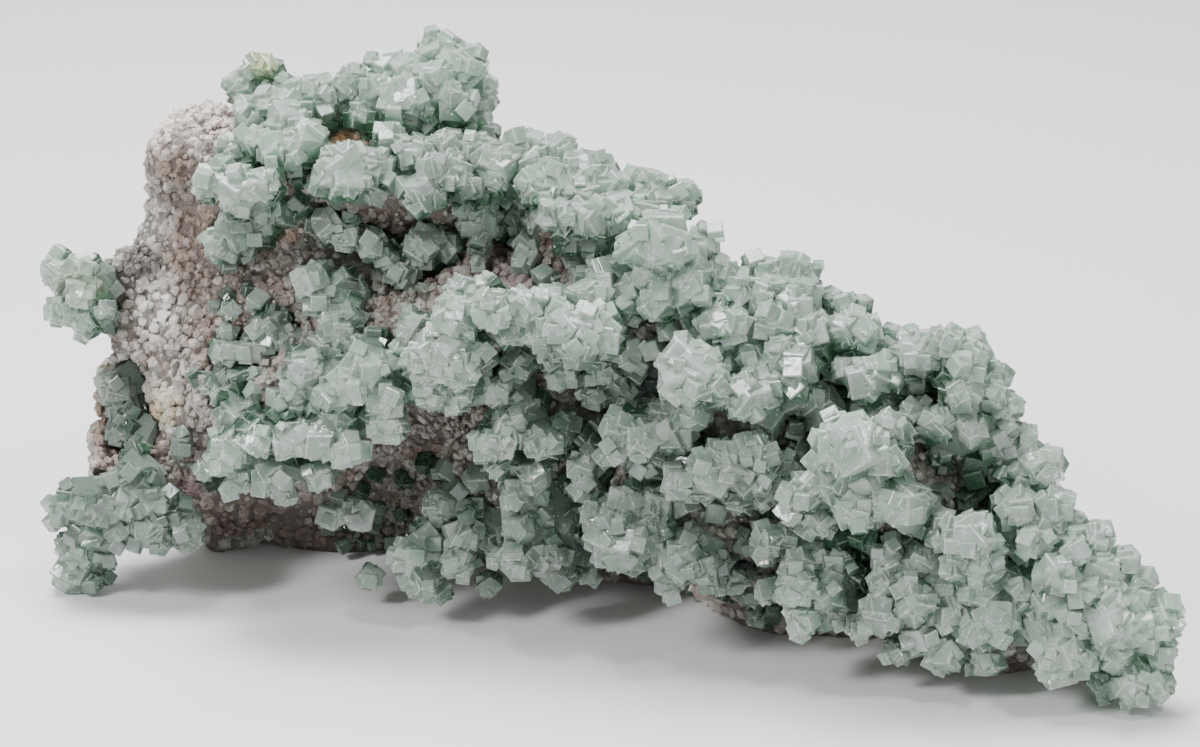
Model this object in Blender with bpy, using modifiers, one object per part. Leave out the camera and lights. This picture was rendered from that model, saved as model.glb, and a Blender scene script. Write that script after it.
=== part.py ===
"""A cluster of green fluorite cubes grown in ledges over a quartz matrix.

Lengths in the tables are millimetres, and the model is in metres. +X runs along the specimen, +Y away from
its display side, +Z up, with the origin at the middle of its foot. A knob is one ball of grown-together
cubes. Its place is given as it is measured from the display side: across, rise up the view and depth back.
"""
import math
import random

import bpy
import bmesh
import numpy as np
from mathutils import Matrix, Quaternion, Vector
from mathutils.bvhtree import BVHTree

MM = 0.001

# The display view that the knobs are measured in
VIEW_TILT = math.radians(20)
VIEW_DISTANCE = 480.0
VIEW_HEIGHT = 39.6
VIEW_RISE = 47.5

# How cubes fill a knob
MAIN_CUBE_SHARE = 0.72
SIDE_CUBE_SHARE = 0.55
SIDE_CUBE_OFFSET = 0.28
TWO_CUBES_FROM = 6.0

# The massive fluorite behind the knobs: a crust under each knob, and links that tie each to its neighbour
CRUST_START_SHARE = 0.3
CRUST_SHARE = 0.42
THINNEST_CRUST = 2.0
CRUST_THICKNESS = 3.0
CRUST_STEP = 2.5
LINK_START_SHARE = 0.45
LINK_SHARE = 0.33
THINNEST_LINK = 1.7
LINK_STEP = 1.5

# The rock's arms, which reach from the spine out behind each knob
ROCK_START = 4.0
ROCK_STEP = 3.0
ROCK_RADIUS = 6.0
NARROWEST_ARM = 1.8
ARM_SPREAD = 0.22
LONGEST_ARM = 60.0

# The rock's broken face
BREAK_SIZE = 9.0
BREAK_DEPTH = 5.0
BREAK_MIDDLE = 0.75

# Gaps: rock behind knobs, crystals off the rock, and crystals off the ground
CLEAR_OF_ROCK = 0.5
SEAM_GAP = 0.45
FLOOR_GAP = 0.3

# Voxel sizes, and the share of faces that thinning keeps
CRUST_VOXEL = 1.45
ROCK_VOXEL = 2.5
CRUST_DETAIL = 0.13
FUSED_DETAIL = 0.32
ROCK_DETAIL = 0.09

# How faces that thinning leaves folded or touching are eased apart
SETTLE_ROUNDS = 12
SETTLE_SHARE = 0.4
TOUCH = 0.02

CUBES_PER_JOIN = 60
CUTTER_SIDE = 400.0

# The middle of the foot in the measured space, which becomes the origin
CENTRE = (-1.25, 11.15, 0)

# The middle line of the body, which every knob is rooted towards: x, y, z
SPINE = [(-62, 32, 42), (-40, 32, 50), (-12, 28, 44), (12, 18, 34), (36, 6, 24), (58, -10, 13), (70, -16, 7)]

# Lumps of the quartz body: centre x, y, z and half sizes
ROCK_LUMPS = [
    (-58, 32, 34, 13, 14, 38),
    (-60, 29, 62, 8, 9, 11),
    (-40, 38, 30, 22, 18, 40),
    (-14, 36, 26, 30, 20, 36),
    (12, 28, 20, 28, 22, 28),
    (36, 12, 12, 26, 21, 24),
    (56, -5, 6, 16, 14, 14),
    (-64, 25, 26, 9, 9, 12),
    (-30, 48, 16, 17, 10, 15),
    (4, 43, 12, 15, 9, 13),
    (-53, 45, 46, 9, 8, 13),
    (32, 30, 9, 12, 8, 10),
    (-12, 49, 34, 12, 7, 9),
    (-46, 31, 61, 10, 9, 14),
    (-28, 29, 60, 14, 9, 13),
    (-14, 27, 48, 18, 11, 14),
    (4, 21, 45, 15, 10, 12),
    (20, 14, 37, 13, 10, 12),
    (34, 5, 29, 13, 10, 11),
    (48, -2, 23, 12, 9, 11),
    (60, -8, 14, 10, 9, 10),
]

# Knobs of each growth: across, rise, depth, size across
KNOBS = {
    "ridge_crystals": [
        (-36.4, 76.3, 4, 7), (-39.3, 74.9, 5, 4.5), (-32.1, 77.3, 5, 5), (-29.7, 80.6, 8, 5),
        (-26.9, 79.1, 6, 5), (-24.3, 76.6, 4, 5), (-25.4, 73.4, 3, 5.5), (-22.1, 79.4, 7, 5),
        (-20.7, 76.3, 5, 5), (-17.9, 79.4, 8, 5.5), (-15.7, 78.3, 6, 5), (-11.4, 80.1, 8, 5),
        (-18.3, 74.4, 5, 4.2), (-14.6, 75.1, 5, 4.2), (-13.6, 77.3, 5, 5), (-9.3, 74.4, 2, 5),
        (-10, 78, 6, 5), (-6.3, 79.1, 7, 5.5), (-6.4, 75.1, 3, 5.5), (-3.6, 77.3, 5, 4.5), (0, 76.3, 5, 5),
        (-2.9, 73, 2, 5.5), (1.7, 73.7, 3, 5), (5, 73.7, 4, 5), (8.6, 73, 2, 5.5), (11.7, 73, 3, 4),
        (-1.4, 70.1, 0, 6), (-5.7, 70.1, 0, 5), (2.9, 70.6, 0, 5.5), (6.4, 70.6, 0, 5), (-4.3, 67.7, 1, 4),
        (-1.4, 66.6, 2, 4.5), (0.7, 64.4, 3, 4), (-17.1, 69.1, 10, 5.5), (-12.1, 69.7, 12, 4.2),
        (-9, 69.1, 9, 4), (-41.4, 60.9, 8, 5.2), (-40.3, 57.7, 7, 4.2), (-37.1, 60.1, 10, 4),
        (-35, 58.7, 11, 4), (-36.4, 55.4, 5, 4.5), (-37.4, 53.4, 3, 5.2), (-54, 50.6, 12, 4),
        (-54.6, 45.1, 10, 4.2), (-52.1, 41.6, 3, 4.5), (-50, 39.4, 0, 4.5), (-53.1, 36.6, -3, 5.8),
        (-49.3, 38, -4, 5.2), (-51.7, 32.3, -3, 4.2), (-47.4, 33, -4, 4.5), (-44.3, 38, -5, 5.2),
        (-40.7, 38, -6, 5.8), (-45.7, 31.6, -2, 4.2), (-40.3, 33, -3, 4.6), (-36.4, 36.9, -6, 5.2),
        (-41.4, 48, -1, 5.6), (-43.6, 45.1, -1, 4.2), (-38.6, 44.4, -3, 5), (-37.9, 40.9, -4, 4.6),
        (-33.6, 48.7, -4, 6.5), (-35.7, 45.9, -5, 5.2), (-30.7, 43.7, -5, 5.2), (-30.7, 40.1, -5, 5.2),
        (-26.4, 53.7, -3, 5.2), (-24.3, 50.1, -7, 6.2), (-21.7, 50.6, -8, 5.2), (-18.6, 49.4, -8, 5),
        (-24.3, 44.4, -5, 4.2), (-20.3, 44, -5, 4.4), (-25, 46.6, -6, 4.6), (-20, 47.3, -7, 4.6),
        (-19.3, 58.7, -3, 5.2), (-20.3, 55.9, -7, 5.8), (-15, 56.6, -9, 5.8), (-10.7, 57.3, -8, 5.4),
        (-12.9, 53.7, -7, 4.6), (-8.6, 53, -9, 4.6), (-7.1, 58, -6, 4.6), (-5, 54.4, -11, 6),
        (-1.4, 58, -8, 5.6), (0, 53.7, -12, 7), (-2.9, 50.9, -13, 5.2), (-6.4, 50.9, -9, 4.2),
        (-11.4, 49.4, -1, 5), (-5.7, 48, -2, 5), (8.6, 65.9, -8, 8.6), (4.3, 65.1, -6, 4.8),
        (14.3, 65.9, -5, 4.8), (7.1, 61.6, -8, 5.6), (12.9, 62.6, -7, 4.2), (0.3, 61.8, -3, 4.6),
        (3.6, 58.7, -7, 5.2), (8.6, 58, -10, 5.2), (12.9, 59.4, -10, 6.2), (17.1, 61.6, -6, 5),
        (16.4, 54.4, -12, 5), (18.6, 53.7, -13, 4.8), (20, 59.4, -8, 5), (23.6, 61.6, -5, 5.2),
        (28.6, 61.6, -6, 5.6), (24.3, 58, -9, 5.6), (28.6, 58, -10, 5.6), (25, 54.4, -12, 5.6),
        (30, 53.7, -12, 5.6), (35.4, 56.9, -8, 4), (37.9, 53, -12, 5), (34.3, 53.7, -12, 4.6),
        (26.4, 50.9, -14, 5), (28.6, 48.7, -16, 5.6), (21.4, 50.1, -12, 4.6), (24.3, 47.3, -14, 4.2),
        (41.4, 50.9, -11, 4), (38.6, 46.6, -16, 6.8), (42.9, 48, -14, 4.2), (31.4, 42.3, -12, 6),
        (40, 42.3, -15, 4.2), (12.9, 47.7, -18, 8.5), (15, 46.6, -20, 5.4), (20.7, 44.4, -18, 6),
        (23.6, 45.9, -16, 4.4), (35.7, 37.3, -27, 8.5), (32.9, 36.6, -26, 5), (41.4, 40.1, -24, 4.2),
        (40.7, 35.1, -26, 5.4), (34.3, 32.3, -24, 5), (30, 30.9, -22, 5.2), (37.9, 32.3, -25, 4.6),
        (36.4, 28, -26, 5.6), (43.6, 28.7, -27, 7), (31.4, 26.6, -20, 4.4), (45.7, 50.9, -17, 5.8),
        (49.3, 51.6, -18, 5.2), (53.1, 50.6, -18, 5.2), (52.1, 48, -20, 4.6), (56.4, 47.3, -17, 4.2),
        (52.1, 44.4, -21, 5.2), (55.7, 44.4, -20, 4.6), (57.9, 42, -19, 4.2), (47.9, 40.1, -20, 5.2),
        (45, 41.6, -18, 4.8), (52.9, 39.4, -21, 4.2), (57.1, 38, -19, 5), (60.7, 36.6, -19, 4.2),
        (48.6, 36.6, -17, 4.2), (63.6, 34, -21, 5.8), (60, 33.7, -20, 4.6), (64.3, 28, -24, 5.2),
        (60, 30.1, -21, 4.2), (59.3, 28, -25, 5.6), (67.1, 25.9, -24, 4.2), (62.1, 24.4, -26, 5.6),
        (70.7, 23.7, -26, 5.2), (67.9, 22.3, -28, 4.2), (65, 18.7, -29, 5.4), (72.1, 19.4, -28, 5.2),
        (75, 20.9, -27, 4), (77.1, 18, -27, 4.2), (69.3, 16.6, -29, 5), (74.3, 15.1, -29, 5.8),
        (80, 12.3, -28, 6), (72.9, 11.6, -31, 6.2), (77.1, 10.9, -30, 5), (68.6, 12.3, -29, 4.6),
        (64.3, 15.1, -28, 4.8), (62.9, 11.6, -27, 4.6), (65.7, 6.9, -29, 7.4), (73.6, 8, -30, 4.6),
        (80, 8, -28, 4.2), (75.7, 3, -29, 5.6), (78.6, 3, -29, 4.2), (72.1, 2.6, -26, 4),
        (52.9, 23.7, -28, 6.6), (50, 25.1, -27, 4.6), (55, 20.6, -28, 5), (51.4, 20.9, -27, 4.6),
        (41.7, 22, -22, 4.2), (45.7, 20.9, -23, 4.2), (54.3, 16.6, -26, 4.8), (40.7, 18, -23, 4.6),
        (45, 15.1, -26, 5.8), (40, 13, -25, 5.8), (45.7, 10.1, -25, 4.6), (50, 13.7, -25, 4.6),
        (49.3, 7.3, -25, 5.2), (56.4, 12.3, -27, 6.4), (55, 6.6, -24, 4.6), (48.6, 16.6, -24, 4.2),
        (52.9, 10.9, -26, 4.6), (60, 16.6, -26, 4), (37.1, 11.6, -21, 4), (42.9, 8, -22, 4),
        (28.6, 16.9, -21, 5.6), (32.6, 16.3, -21, 5.2), (29.3, 13, -20, 5.6), (33.3, 13.4, -19, 4.2),
        (28.6, 20.1, -19, 5), (33.6, 20.1, -18, 5), (24, 23, -17, 5), (26.4, 23.7, -16, 4.6),
        (-14.7, 45.1, -1, 4.6), (-12.9, 40.1, -3, 5), (-15.4, 38, -3, 5.2), (-13.6, 37.3, -4, 4.2),
        (-7.9, 38, -3, 5.2), (-5.7, 38.7, -1, 4.2), (-11.4, 43, 0, 4.6), (-2.1, 34.4, -2, 5.2),
        (-2.1, 31.6, -2, 4),
    ],
    "crown_crystals": [
        (-22.9, 93.4, 18, 6.3), (-19.7, 90.6, 15, 7), (-22.9, 89.1, 13, 6.3), (-17.1, 87.3, 18, 4.5),
        (-26.9, 90.1, 15, 5.7), (-30, 91.1, 17, 5), (-35.4, 88.6, 18, 5), (-32.1, 87.7, 15, 5.5),
        (-28.6, 86.9, 12, 6), (-33.6, 84.9, 14, 4), (-25, 86.1, 13, 4.5), (-20.7, 86.1, 12, 5.5),
        (-17.4, 84, 15, 4.5), (-24.5, 88, 22, 6), (-18.5, 88, 22, 6), (-31, 87.5, 22, 6),
        (-48.3, 90.9, 24, 5), (-51.4, 88.3, 22, 4), (-45, 88, 22, 4.5), (-41, 87.3, 20, 5),
        (-39.3, 85.9, 18, 4.5), (-42.9, 85.9, 17, 6), (-47.1, 85.9, 18, 5), (-50, 84.9, 18, 4.5),
        (-44.3, 83, 13, 6.5), (-42.1, 80.1, 9, 6), (-46.4, 79.7, 9, 5), (-49.3, 80.9, 12, 4),
        (-52.6, 79.4, 12, 4), (-55.4, 75.1, 9, 4.8), (-50.7, 73.7, 6, 6), (-48.3, 74.4, 5, 5),
        (-52.1, 72.3, 6, 4.2), (-51.4, 68.7, 14, 7), (-53.6, 65.9, 16, 6), (-47.9, 70.1, 14, 6),
    ],
    "lower_right_crystals": [
        (17.1, 34.4, -17, 7), (21.4, 36.6, -17, 5.2), (23.1, 35.1, -17, 4.6), (21.4, 32.3, -17, 5),
        (11.4, 32.3, -14, 5.6), (26.4, 34.4, -15, 4), (24.3, 30.9, -15, 4), (20, 29.4, -12, 4),
        (14.3, 30.9, -13, 4), (2.9, 39.4, -9, 5.2), (2.6, 36.6, -10, 4.6), (6.4, 38, -11, 5.6),
        (10.7, 38.7, -11, 5.6), (7.1, 35.1, -9, 4.2), (9.3, 41.6, -8, 4.6),
    ],
    "left_foot_crystals": [
        (-75, 18.7, 13, 6.2), (-72.1, 18, 13, 4.8), (-75, 22.6, 11, 5.6), (-71.4, 23, 11, 5.2),
        (-76.4, 28, 10, 4.6), (-73.6, 28, 8, 5.2), (-70.7, 28, 8, 4.8), (-67.1, 28.7, 8, 5.6),
        (-67.9, 32.3, 10, 5), (-64.3, 29.4, 8, 5), (-64.3, 25.1, 7, 5.6), (-59.3, 25.1, 8, 5),
        (-68.6, 25.1, 8, 4.6), (-72.9, 25.1, 9, 5),
    ],
    "lower_middle_crystals": [
        (2.9, 23.7, -14, 8), (0, 25.1, -12, 4.2), (3.6, 28.7, -11, 5.2), (7.9, 28.7, -10, 4.6),
        (7.1, 25.9, -12, 4.6), (-0.7, 27.3, -10, 4), (4.3, 20.9, -13, 4.2), (11.4, 20.9, -16, 5.8),
        (14.3, 20.1, -15, 4.6), (9.3, 20.9, -15, 4.2), (10, 18, -13, 4.6), (15.7, 18, -11, 4),
    ],
    "lower_left_crystals": [
        (-14.3, 34.4, 0, 4.2), (-9.3, 33, -1, 4.8), (-12.1, 30.9, -1, 4.6), (-8.6, 28, 1, 4.6),
        (-5, 26.6, 2, 4), (-11.4, 25.9, -2, 4.6), (-12.1, 20.9, -4, 5.6), (-7.9, 21.6, -3, 5.2),
        (-5.7, 18.7, -2, 4.6), (-2.1, 19.4, 1, 4),
    ],
    "shelf_crystals": [
        (-38.6, 68.7, 12, 5), (-35.7, 66.9, 11, 4.3), (-32.6, 65.9, 11, 4.3), (-25, 65.9, 10, 5.8),
        (-21.7, 65.4, 11, 4.2), (-27.9, 61.6, 11, 4.3),
    ],
    "low_left_crystals": [
        (-27.1, 21.6, 0, 5.2), (-25.7, 18, 0, 5.2), (-19.3, 24.4, 1, 5.2), (-20, 20.9, 0, 5.2),
        (-22.9, 28.7, 4, 4.6), (-15, 23.7, 2, 4),
    ],
    "left_knob_crystals": [
        (-77.1, 62, 22, 5.6), (-73.6, 62.3, 21, 4.8), (-76.4, 56.6, 22, 5), (-73.6, 59.4, 20, 5),
        (-73.1, 54.4, 20, 4),
    ],
    "left_cheek_crystals": [
        (-69.3, 45.9, 24, 5.6), (-68.6, 43, 24, 4.6), (-70.7, 38, 24, 4.2), (-67.9, 39.4, 22, 4.2),
        (-65, 36.6, 18, 4.2),
    ],
    "left_face_crystals": [
        (-49.7, 50.9, 10, 4.3), (-47.1, 53.7, 10, 5), (-44.6, 52.6, 10, 4.2),
    ],
    "hollow_crystals": [
        (0, 48, -3, 4.5), (-0.7, 44.4, 1, 4.2), (3.6, 45.9, 1, 5.6), (5.7, 43.7, 1, 4.2),
    ],
}


def clear_scene():
    for obj in list(bpy.data.objects):
        bpy.data.objects.remove(obj)


def collection(name):
    made = bpy.data.collections.new(name)
    bpy.context.scene.collection.children.link(made)
    return made


def seat(across, rise, depth):
    """The point at this depth that the display view shows at across and rise, in metres."""
    up = rise - VIEW_RISE
    level = VIEW_DISTANCE * math.cos(VIEW_TILT)
    reach = (depth + level) / (level + up * math.sin(VIEW_TILT))
    height = VIEW_HEIGHT + VIEW_DISTANCE * math.sin(VIEW_TILT) * (1 - reach) + reach * up * math.cos(VIEW_TILT)
    return Vector((reach * across, depth, height)) * MM


def nearest_on_spine(point):
    """The nearest point on the spine, which a knob roots towards."""
    best = None
    for start, end in zip(SPINE, SPINE[1:]):
        a = Vector(start) * MM
        b = Vector(end) * MM
        share = min(1.0, max(0.0, (point - a).dot(b - a) / (b - a).length_squared))
        found = a.lerp(b, share)
        if best is None or (found - point).length < (best - point).length:
            best = found
    return best


def ball_object(name, balls, where):
    """An object of separate balls, each a centre in metres and a radius or three half sizes in millimetres."""
    bm = bmesh.new()
    bmesh.ops.create_icosphere(bm, subdivisions=3, radius=1)
    bm.verts.index_update()
    shape = np.array([vertex.co for vertex in bm.verts])
    faces = np.array([[vertex.index for vertex in face.verts] for face in bm.faces])
    bm.free()
    points = []
    corners = []
    for centre, size in balls:
        corners.append(faces + len(points) * len(shape))
        points.append(shape * size * MM + centre)
    mesh = bpy.data.meshes.new(name)
    mesh.from_pydata(np.concatenate(points), [], np.concatenate(corners).tolist())
    made = bpy.data.objects.new(name, mesh)
    where.objects.link(made)
    return made


def object_from(bm, name, where):
    mesh = bpy.data.meshes.new(name)
    bm.to_mesh(mesh)
    bm.free()
    made = bpy.data.objects.new(name, mesh)
    where.objects.link(made)
    return made


def helper(obj):
    """Marks a shape that only shapes others, so that it isn't part of the specimen."""
    obj.hide_render = True
    obj.display_type = "WIRE"
    return obj


def fuse(obj, voxel, detail):
    """Melts overlapping balls into one coarse skin."""
    remesh = obj.modifiers.new("fuse", "REMESH")
    remesh.mode = "VOXEL"
    remesh.voxel_size = voxel * MM
    coarsen(obj, detail)


def coarsen(obj, detail):
    """Thins a mesh to a share of its faces, after splitting them into triangles."""
    if detail < 1:
        obj.modifiers.new("triangles", "TRIANGULATE")
        obj.modifiers.new("coarsen", "DECIMATE").ratio = detail


def bake(obj):
    """Replaces an object's mesh by its evaluated one, keeping only the largest closed body."""
    bpy.context.view_layer.update()
    graph = bpy.context.evaluated_depsgraph_get()
    mesh = bpy.data.meshes.new_from_object(obj.evaluated_get(graph))
    obj.modifiers.clear()
    obj.data = mesh
    bm = bmesh.new()
    bm.from_mesh(mesh)
    keep_largest_body(bm)
    bmesh.ops.triangulate(bm, faces=bm.faces)
    settle(bm)
    bm.to_mesh(mesh)
    bm.free()


def settle(bm):
    """Eases the few tiny folds and touches that thinning leaves, by moving corners towards their neighbours."""
    for _ in range(SETTLE_ROUNDS):
        bm.faces.ensure_lookup_table()
        tree = BVHTree.FromBMesh(bm)
        corners = set()
        for one, other in tree.overlap(tree):
            ends = set(bm.faces[one].verts), set(bm.faces[other].verts)
            if not ends[0] & ends[1]:
                corners |= ends[0] | ends[1]
        for vertex in bm.verts:
            close = tree.find_nearest_range(vertex.co, TOUCH * MM)
            if any(vertex not in bm.faces[index].verts for _, _, index, _ in close):
                corners.add(vertex)
        for vertex in corners:
            around = [edge.other_vert(vertex).co for edge in vertex.link_edges]
            vertex.co = vertex.co.lerp(sum(around, Vector()) / len(around), SETTLE_SHARE)
        if not corners:
            break


def keep_largest_body(bm):
    """Drops every loose scrap of a mesh."""
    seen = set()
    bodies = []
    for face in bm.faces:
        if face in seen:
            continue
        body = {face}
        front = [face]
        while front:
            for edge in front.pop().edges:
                for other in edge.link_faces:
                    if other not in body:
                        body.add(other)
                        front.append(other)
        seen |= body
        bodies.append(body)
    largest = max(bodies, key=lambda body: sum(face.calc_area() for face in body))
    extra = [face for body in bodies if body is not largest for face in body]
    bmesh.ops.delete(bm, geom=extra, context="FACES")


def material(name, colour, roughness):
    made = bpy.data.materials.new(name)
    made.use_nodes = True
    shader = made.node_tree.nodes["Principled BSDF"]
    shader.inputs["Base Color"].default_value = (*colour, 1)
    shader.inputs["Roughness"].default_value = roughness
    shader.inputs["Metallic"].default_value = 0
    return made


def root_points(knob, first, last, step):
    """Points from behind a knob towards the spine, at these distances in millimetres."""
    centre = seat(*knob[:3])
    inward = nearest_on_spine(centre) - centre
    length = inward.length / MM
    inward.normalize()
    distance = first
    while distance <= min(last, length):
        yield centre + inward * distance * MM
        distance += step


def link_points(knobs):
    """Points of the crust that ties each knob of a growth to its nearest neighbour, as a tree."""
    roots = [next(root_points(knob, LINK_START_SHARE * knob[3], LONGEST_ARM, LONGEST_ARM)) for knob in knobs]
    gaps = np.linalg.norm(np.array(roots)[:, None] - np.array(roots), axis=2)
    tied = {0}
    while len(tied) < len(knobs):
        free = set(range(len(knobs))) - tied
        start, end = min(((a, b) for a in tied for b in free), key=lambda pair: gaps[pair])
        tied.add(end)
        radius = max(THINNEST_LINK, LINK_SHARE * min(knobs[start][3], knobs[end][3]))
        steps = math.ceil((roots[end] - roots[start]).length / (LINK_STEP * MM))
        for step in range(steps + 1):
            yield roots[start].lerp(roots[end], step / max(steps, 1)), radius


def press_back(rock):
    """Presses the rock back along the line of sight, so that no knob or tie between knobs is hidden in it."""
    eye = Vector((0, -math.cos(VIEW_TILT), math.sin(VIEW_TILT))) * VIEW_DISTANCE * MM
    eye.z += VIEW_HEIGHT * MM
    balls = [(seat(*knob[:3]), knob[3] / 2) for knobs in KNOBS.values() for knob in knobs]
    balls += [ball for knobs in KNOBS.values() for ball in link_points(knobs)]
    centres = np.array([centre for centre, _ in balls]) - np.array(eye)
    radii = np.array([radius + CLEAR_OF_ROCK for _, radius in balls]) * MM
    reaches = np.linalg.norm(centres, axis=1)
    for vertex in rock.data.vertices:
        sight = np.array(vertex.co - eye)
        reach = np.linalg.norm(sight)
        sight /= reach
        aside = np.linalg.norm(sight * reaches[:, None] - centres, axis=1)
        near = aside < radii
        if near.any():
            backs = reaches[near] + np.sqrt(radii[near] ** 2 - aside[near] ** 2)
            vertex.co = eye + Vector(sight) * max(reach, backs.max())


def roughen(rock):
    """Gives the rock the uneven face of broken quartz."""
    broken = rock.modifiers.new("broken", "DISPLACE")
    broken.texture = bpy.data.textures.new("broken quartz", "CLOUDS")
    broken.texture.noise_scale = BREAK_SIZE * MM
    broken.strength = BREAK_DEPTH * MM
    broken.mid_level = BREAK_MIDDLE


def make_matrix(where, floor):
    """The quartz rock: its own lumps and arms that reach out behind every knob, with every knob left in view."""
    balls = [((x, y, z), (half_x, half_y, half_z)) for x, y, z, half_x, half_y, half_z in ROCK_LUMPS]
    balls = [(Vector(centre) * MM, halves) for centre, halves in balls]
    for knobs in KNOBS.values():
        for knob in knobs:
            for point in root_points(knob, ROCK_START + knob[3] / 2, LONGEST_ARM, ROCK_STEP):
                depth = (point - seat(*knob[:3])).length / MM
                balls.append((point, min(ROCK_RADIUS, NARROWEST_ARM + ARM_SPREAD * depth)))
    rock = ball_object("matrix", balls, where)
    fuse(rock, ROCK_VOXEL, 1)
    bake(rock)
    press_back(rock)
    roughen(rock)
    fuse(rock, ROCK_VOXEL, ROCK_DETAIL)
    cut(rock, floor)
    bake(rock)
    return rock


def cut(obj, cutter):
    boolean = obj.modifiers.new("cut by " + cutter.name, "BOOLEAN")
    boolean.operation = "DIFFERENCE"
    boolean.object = cutter


def seam_cutter(rock, where):
    """The rock swollen by the seam's gap, to cut the growths that sit on it."""
    swollen = bpy.data.objects.new("seam", rock.data.copy())
    where.objects.link(swollen)
    puff = swollen.modifiers.new("swell", "DISPLACE")
    puff.strength = SEAM_GAP * MM
    puff.mid_level = 0
    return helper(swollen)


def random_turn(rng):
    axis = Vector([rng.gauss(0, 1) for _ in range(3)])
    return Quaternion(axis, rng.uniform(0, math.tau))


def cube_object(centre, turn, edge, where):
    bm = bmesh.new()
    place = Matrix.Translation(centre) @ turn.to_matrix().to_4x4()
    bmesh.ops.create_cube(bm, size=edge, matrix=place)
    return object_from(bm, "cube", where)


def knob_cubes(knob, rng):
    """The cubes of a knob: centre, turn and edge length."""
    centre = seat(*knob[:3])
    size = knob[3] * MM
    yield centre, random_turn(rng), size * MAIN_CUBE_SHARE
    turn = random_turn(rng)
    aside = random_turn(rng) @ Vector((size * SIDE_CUBE_OFFSET, 0, 0))
    if knob[3] >= TWO_CUBES_FROM:
        yield centre + aside, turn, size * SIDE_CUBE_SHARE


def make_growth(name, knobs, where, helpers, floor, seam):
    """One growth: cubes fused to the massive fluorite behind them, cut to sit on the rock."""
    rng = random.Random(name)
    crust = list(link_points(knobs))
    cubes = []
    for knob in knobs:
        radius = max(CRUST_SHARE * knob[3], THINNEST_CRUST)
        last = CRUST_THICKNESS + knob[3] / 2
        for point in root_points(knob, CRUST_START_SHARE * knob[3], last, CRUST_STEP):
            crust.append((point, radius))
        cubes.extend(knob_cubes(knob, rng))
    growth = ball_object(name, crust, where)
    fuse(growth, CRUST_VOXEL, CRUST_DETAIL)
    cubes.sort(key=lambda cube: cube[0].x)
    for first in range(0, len(cubes), CUBES_PER_JOIN):
        batch = bpy.data.collections.new(name + " cubes")
        helpers.children.link(batch)
        for centre, turn, edge in cubes[first:first + CUBES_PER_JOIN]:
            helper(cube_object(centre, turn, edge, batch))
        join = growth.modifiers.new("cubes", "BOOLEAN")
        join.operation = "UNION"
        join.operand_type = "COLLECTION"
        join.collection = batch
    coarsen(growth, FUSED_DETAIL)
    cut(growth, seam)
    cut(growth, floor)
    bake(growth)
    return growth


def floor_cutter(name, top, where):
    bm = bmesh.new()
    side = CUTTER_SIDE * MM
    bmesh.ops.create_cube(bm, size=side, matrix=Matrix.Translation((0, 0, top * MM - side / 2)))
    return helper(object_from(bm, name, where))


def main():
    clear_scene()
    specimen = collection("Green fluorite cluster")
    helpers = collection("Cutters")
    fluorite = material("fluorite", (0.42, 0.58, 0.49), 0.25)
    quartz = material("quartz matrix", (0.45, 0.40, 0.38), 0.8)
    rock = make_matrix(specimen, floor_cutter("floor", 0, helpers))
    rock.data.materials.append(quartz)
    seam = seam_cutter(rock, helpers)
    raised_floor = floor_cutter("raised floor", FLOOR_GAP, helpers)
    for name, knobs in KNOBS.items():
        growth = make_growth(name, knobs, specimen, helpers, raised_floor, seam)
        growth.data.materials.clear()
        growth.data.materials.append(fluorite)
    for piece in specimen.objects:
        piece.data.transform(Matrix.Translation(-Vector(CENTRE) * MM))


main()
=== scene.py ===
"""The looks of a green fluorite cluster: rosettes of grown-together cubes over a granular quartz druse.

Lengths in the tables are millimetres, apart from patches and fields, which are in pixels of the display
picture. A knob is one rosette of cubes: its place as the display view shows it, across and up the view, then its
depth back from the viewer, and its size across.
"""
import math
import random

import bmesh
import bpy
import numpy as np
from bpy.props import FloatProperty, FloatVectorProperty, IntProperty, PointerProperty
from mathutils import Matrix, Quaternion, Vector, noise
from mathutils.bvhtree import BVHTree


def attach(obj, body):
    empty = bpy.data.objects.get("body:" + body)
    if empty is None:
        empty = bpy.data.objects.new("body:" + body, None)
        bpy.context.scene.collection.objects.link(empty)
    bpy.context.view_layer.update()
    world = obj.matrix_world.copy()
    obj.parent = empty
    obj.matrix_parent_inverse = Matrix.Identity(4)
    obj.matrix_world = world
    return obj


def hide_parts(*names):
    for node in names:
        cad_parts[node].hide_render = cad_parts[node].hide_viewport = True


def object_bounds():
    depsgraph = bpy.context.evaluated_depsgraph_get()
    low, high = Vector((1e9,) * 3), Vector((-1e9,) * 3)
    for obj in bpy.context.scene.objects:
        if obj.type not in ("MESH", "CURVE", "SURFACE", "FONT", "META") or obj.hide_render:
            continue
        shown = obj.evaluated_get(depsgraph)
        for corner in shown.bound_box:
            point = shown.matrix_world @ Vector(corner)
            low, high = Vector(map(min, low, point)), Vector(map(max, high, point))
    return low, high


bl_info = {
    "name": "Green fluorite cluster",
    "version": (1, 0, 0),
    "blender": (4, 5, 0),
    "location": "3D View > Sidebar > Fluorite",
    "description": "Dresses the fluorite cluster's solids with crystals, druse and a display stage",
    "category": "Add Mesh",
}

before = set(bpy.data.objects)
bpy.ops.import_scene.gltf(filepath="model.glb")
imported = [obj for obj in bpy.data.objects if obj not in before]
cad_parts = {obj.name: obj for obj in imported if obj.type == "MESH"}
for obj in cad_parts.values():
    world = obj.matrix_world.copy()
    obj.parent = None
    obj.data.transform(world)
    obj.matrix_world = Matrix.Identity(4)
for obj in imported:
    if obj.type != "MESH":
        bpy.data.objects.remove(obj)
CAD_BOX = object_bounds()

MM = 0.001
SQUARE_CM = 1e4

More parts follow.
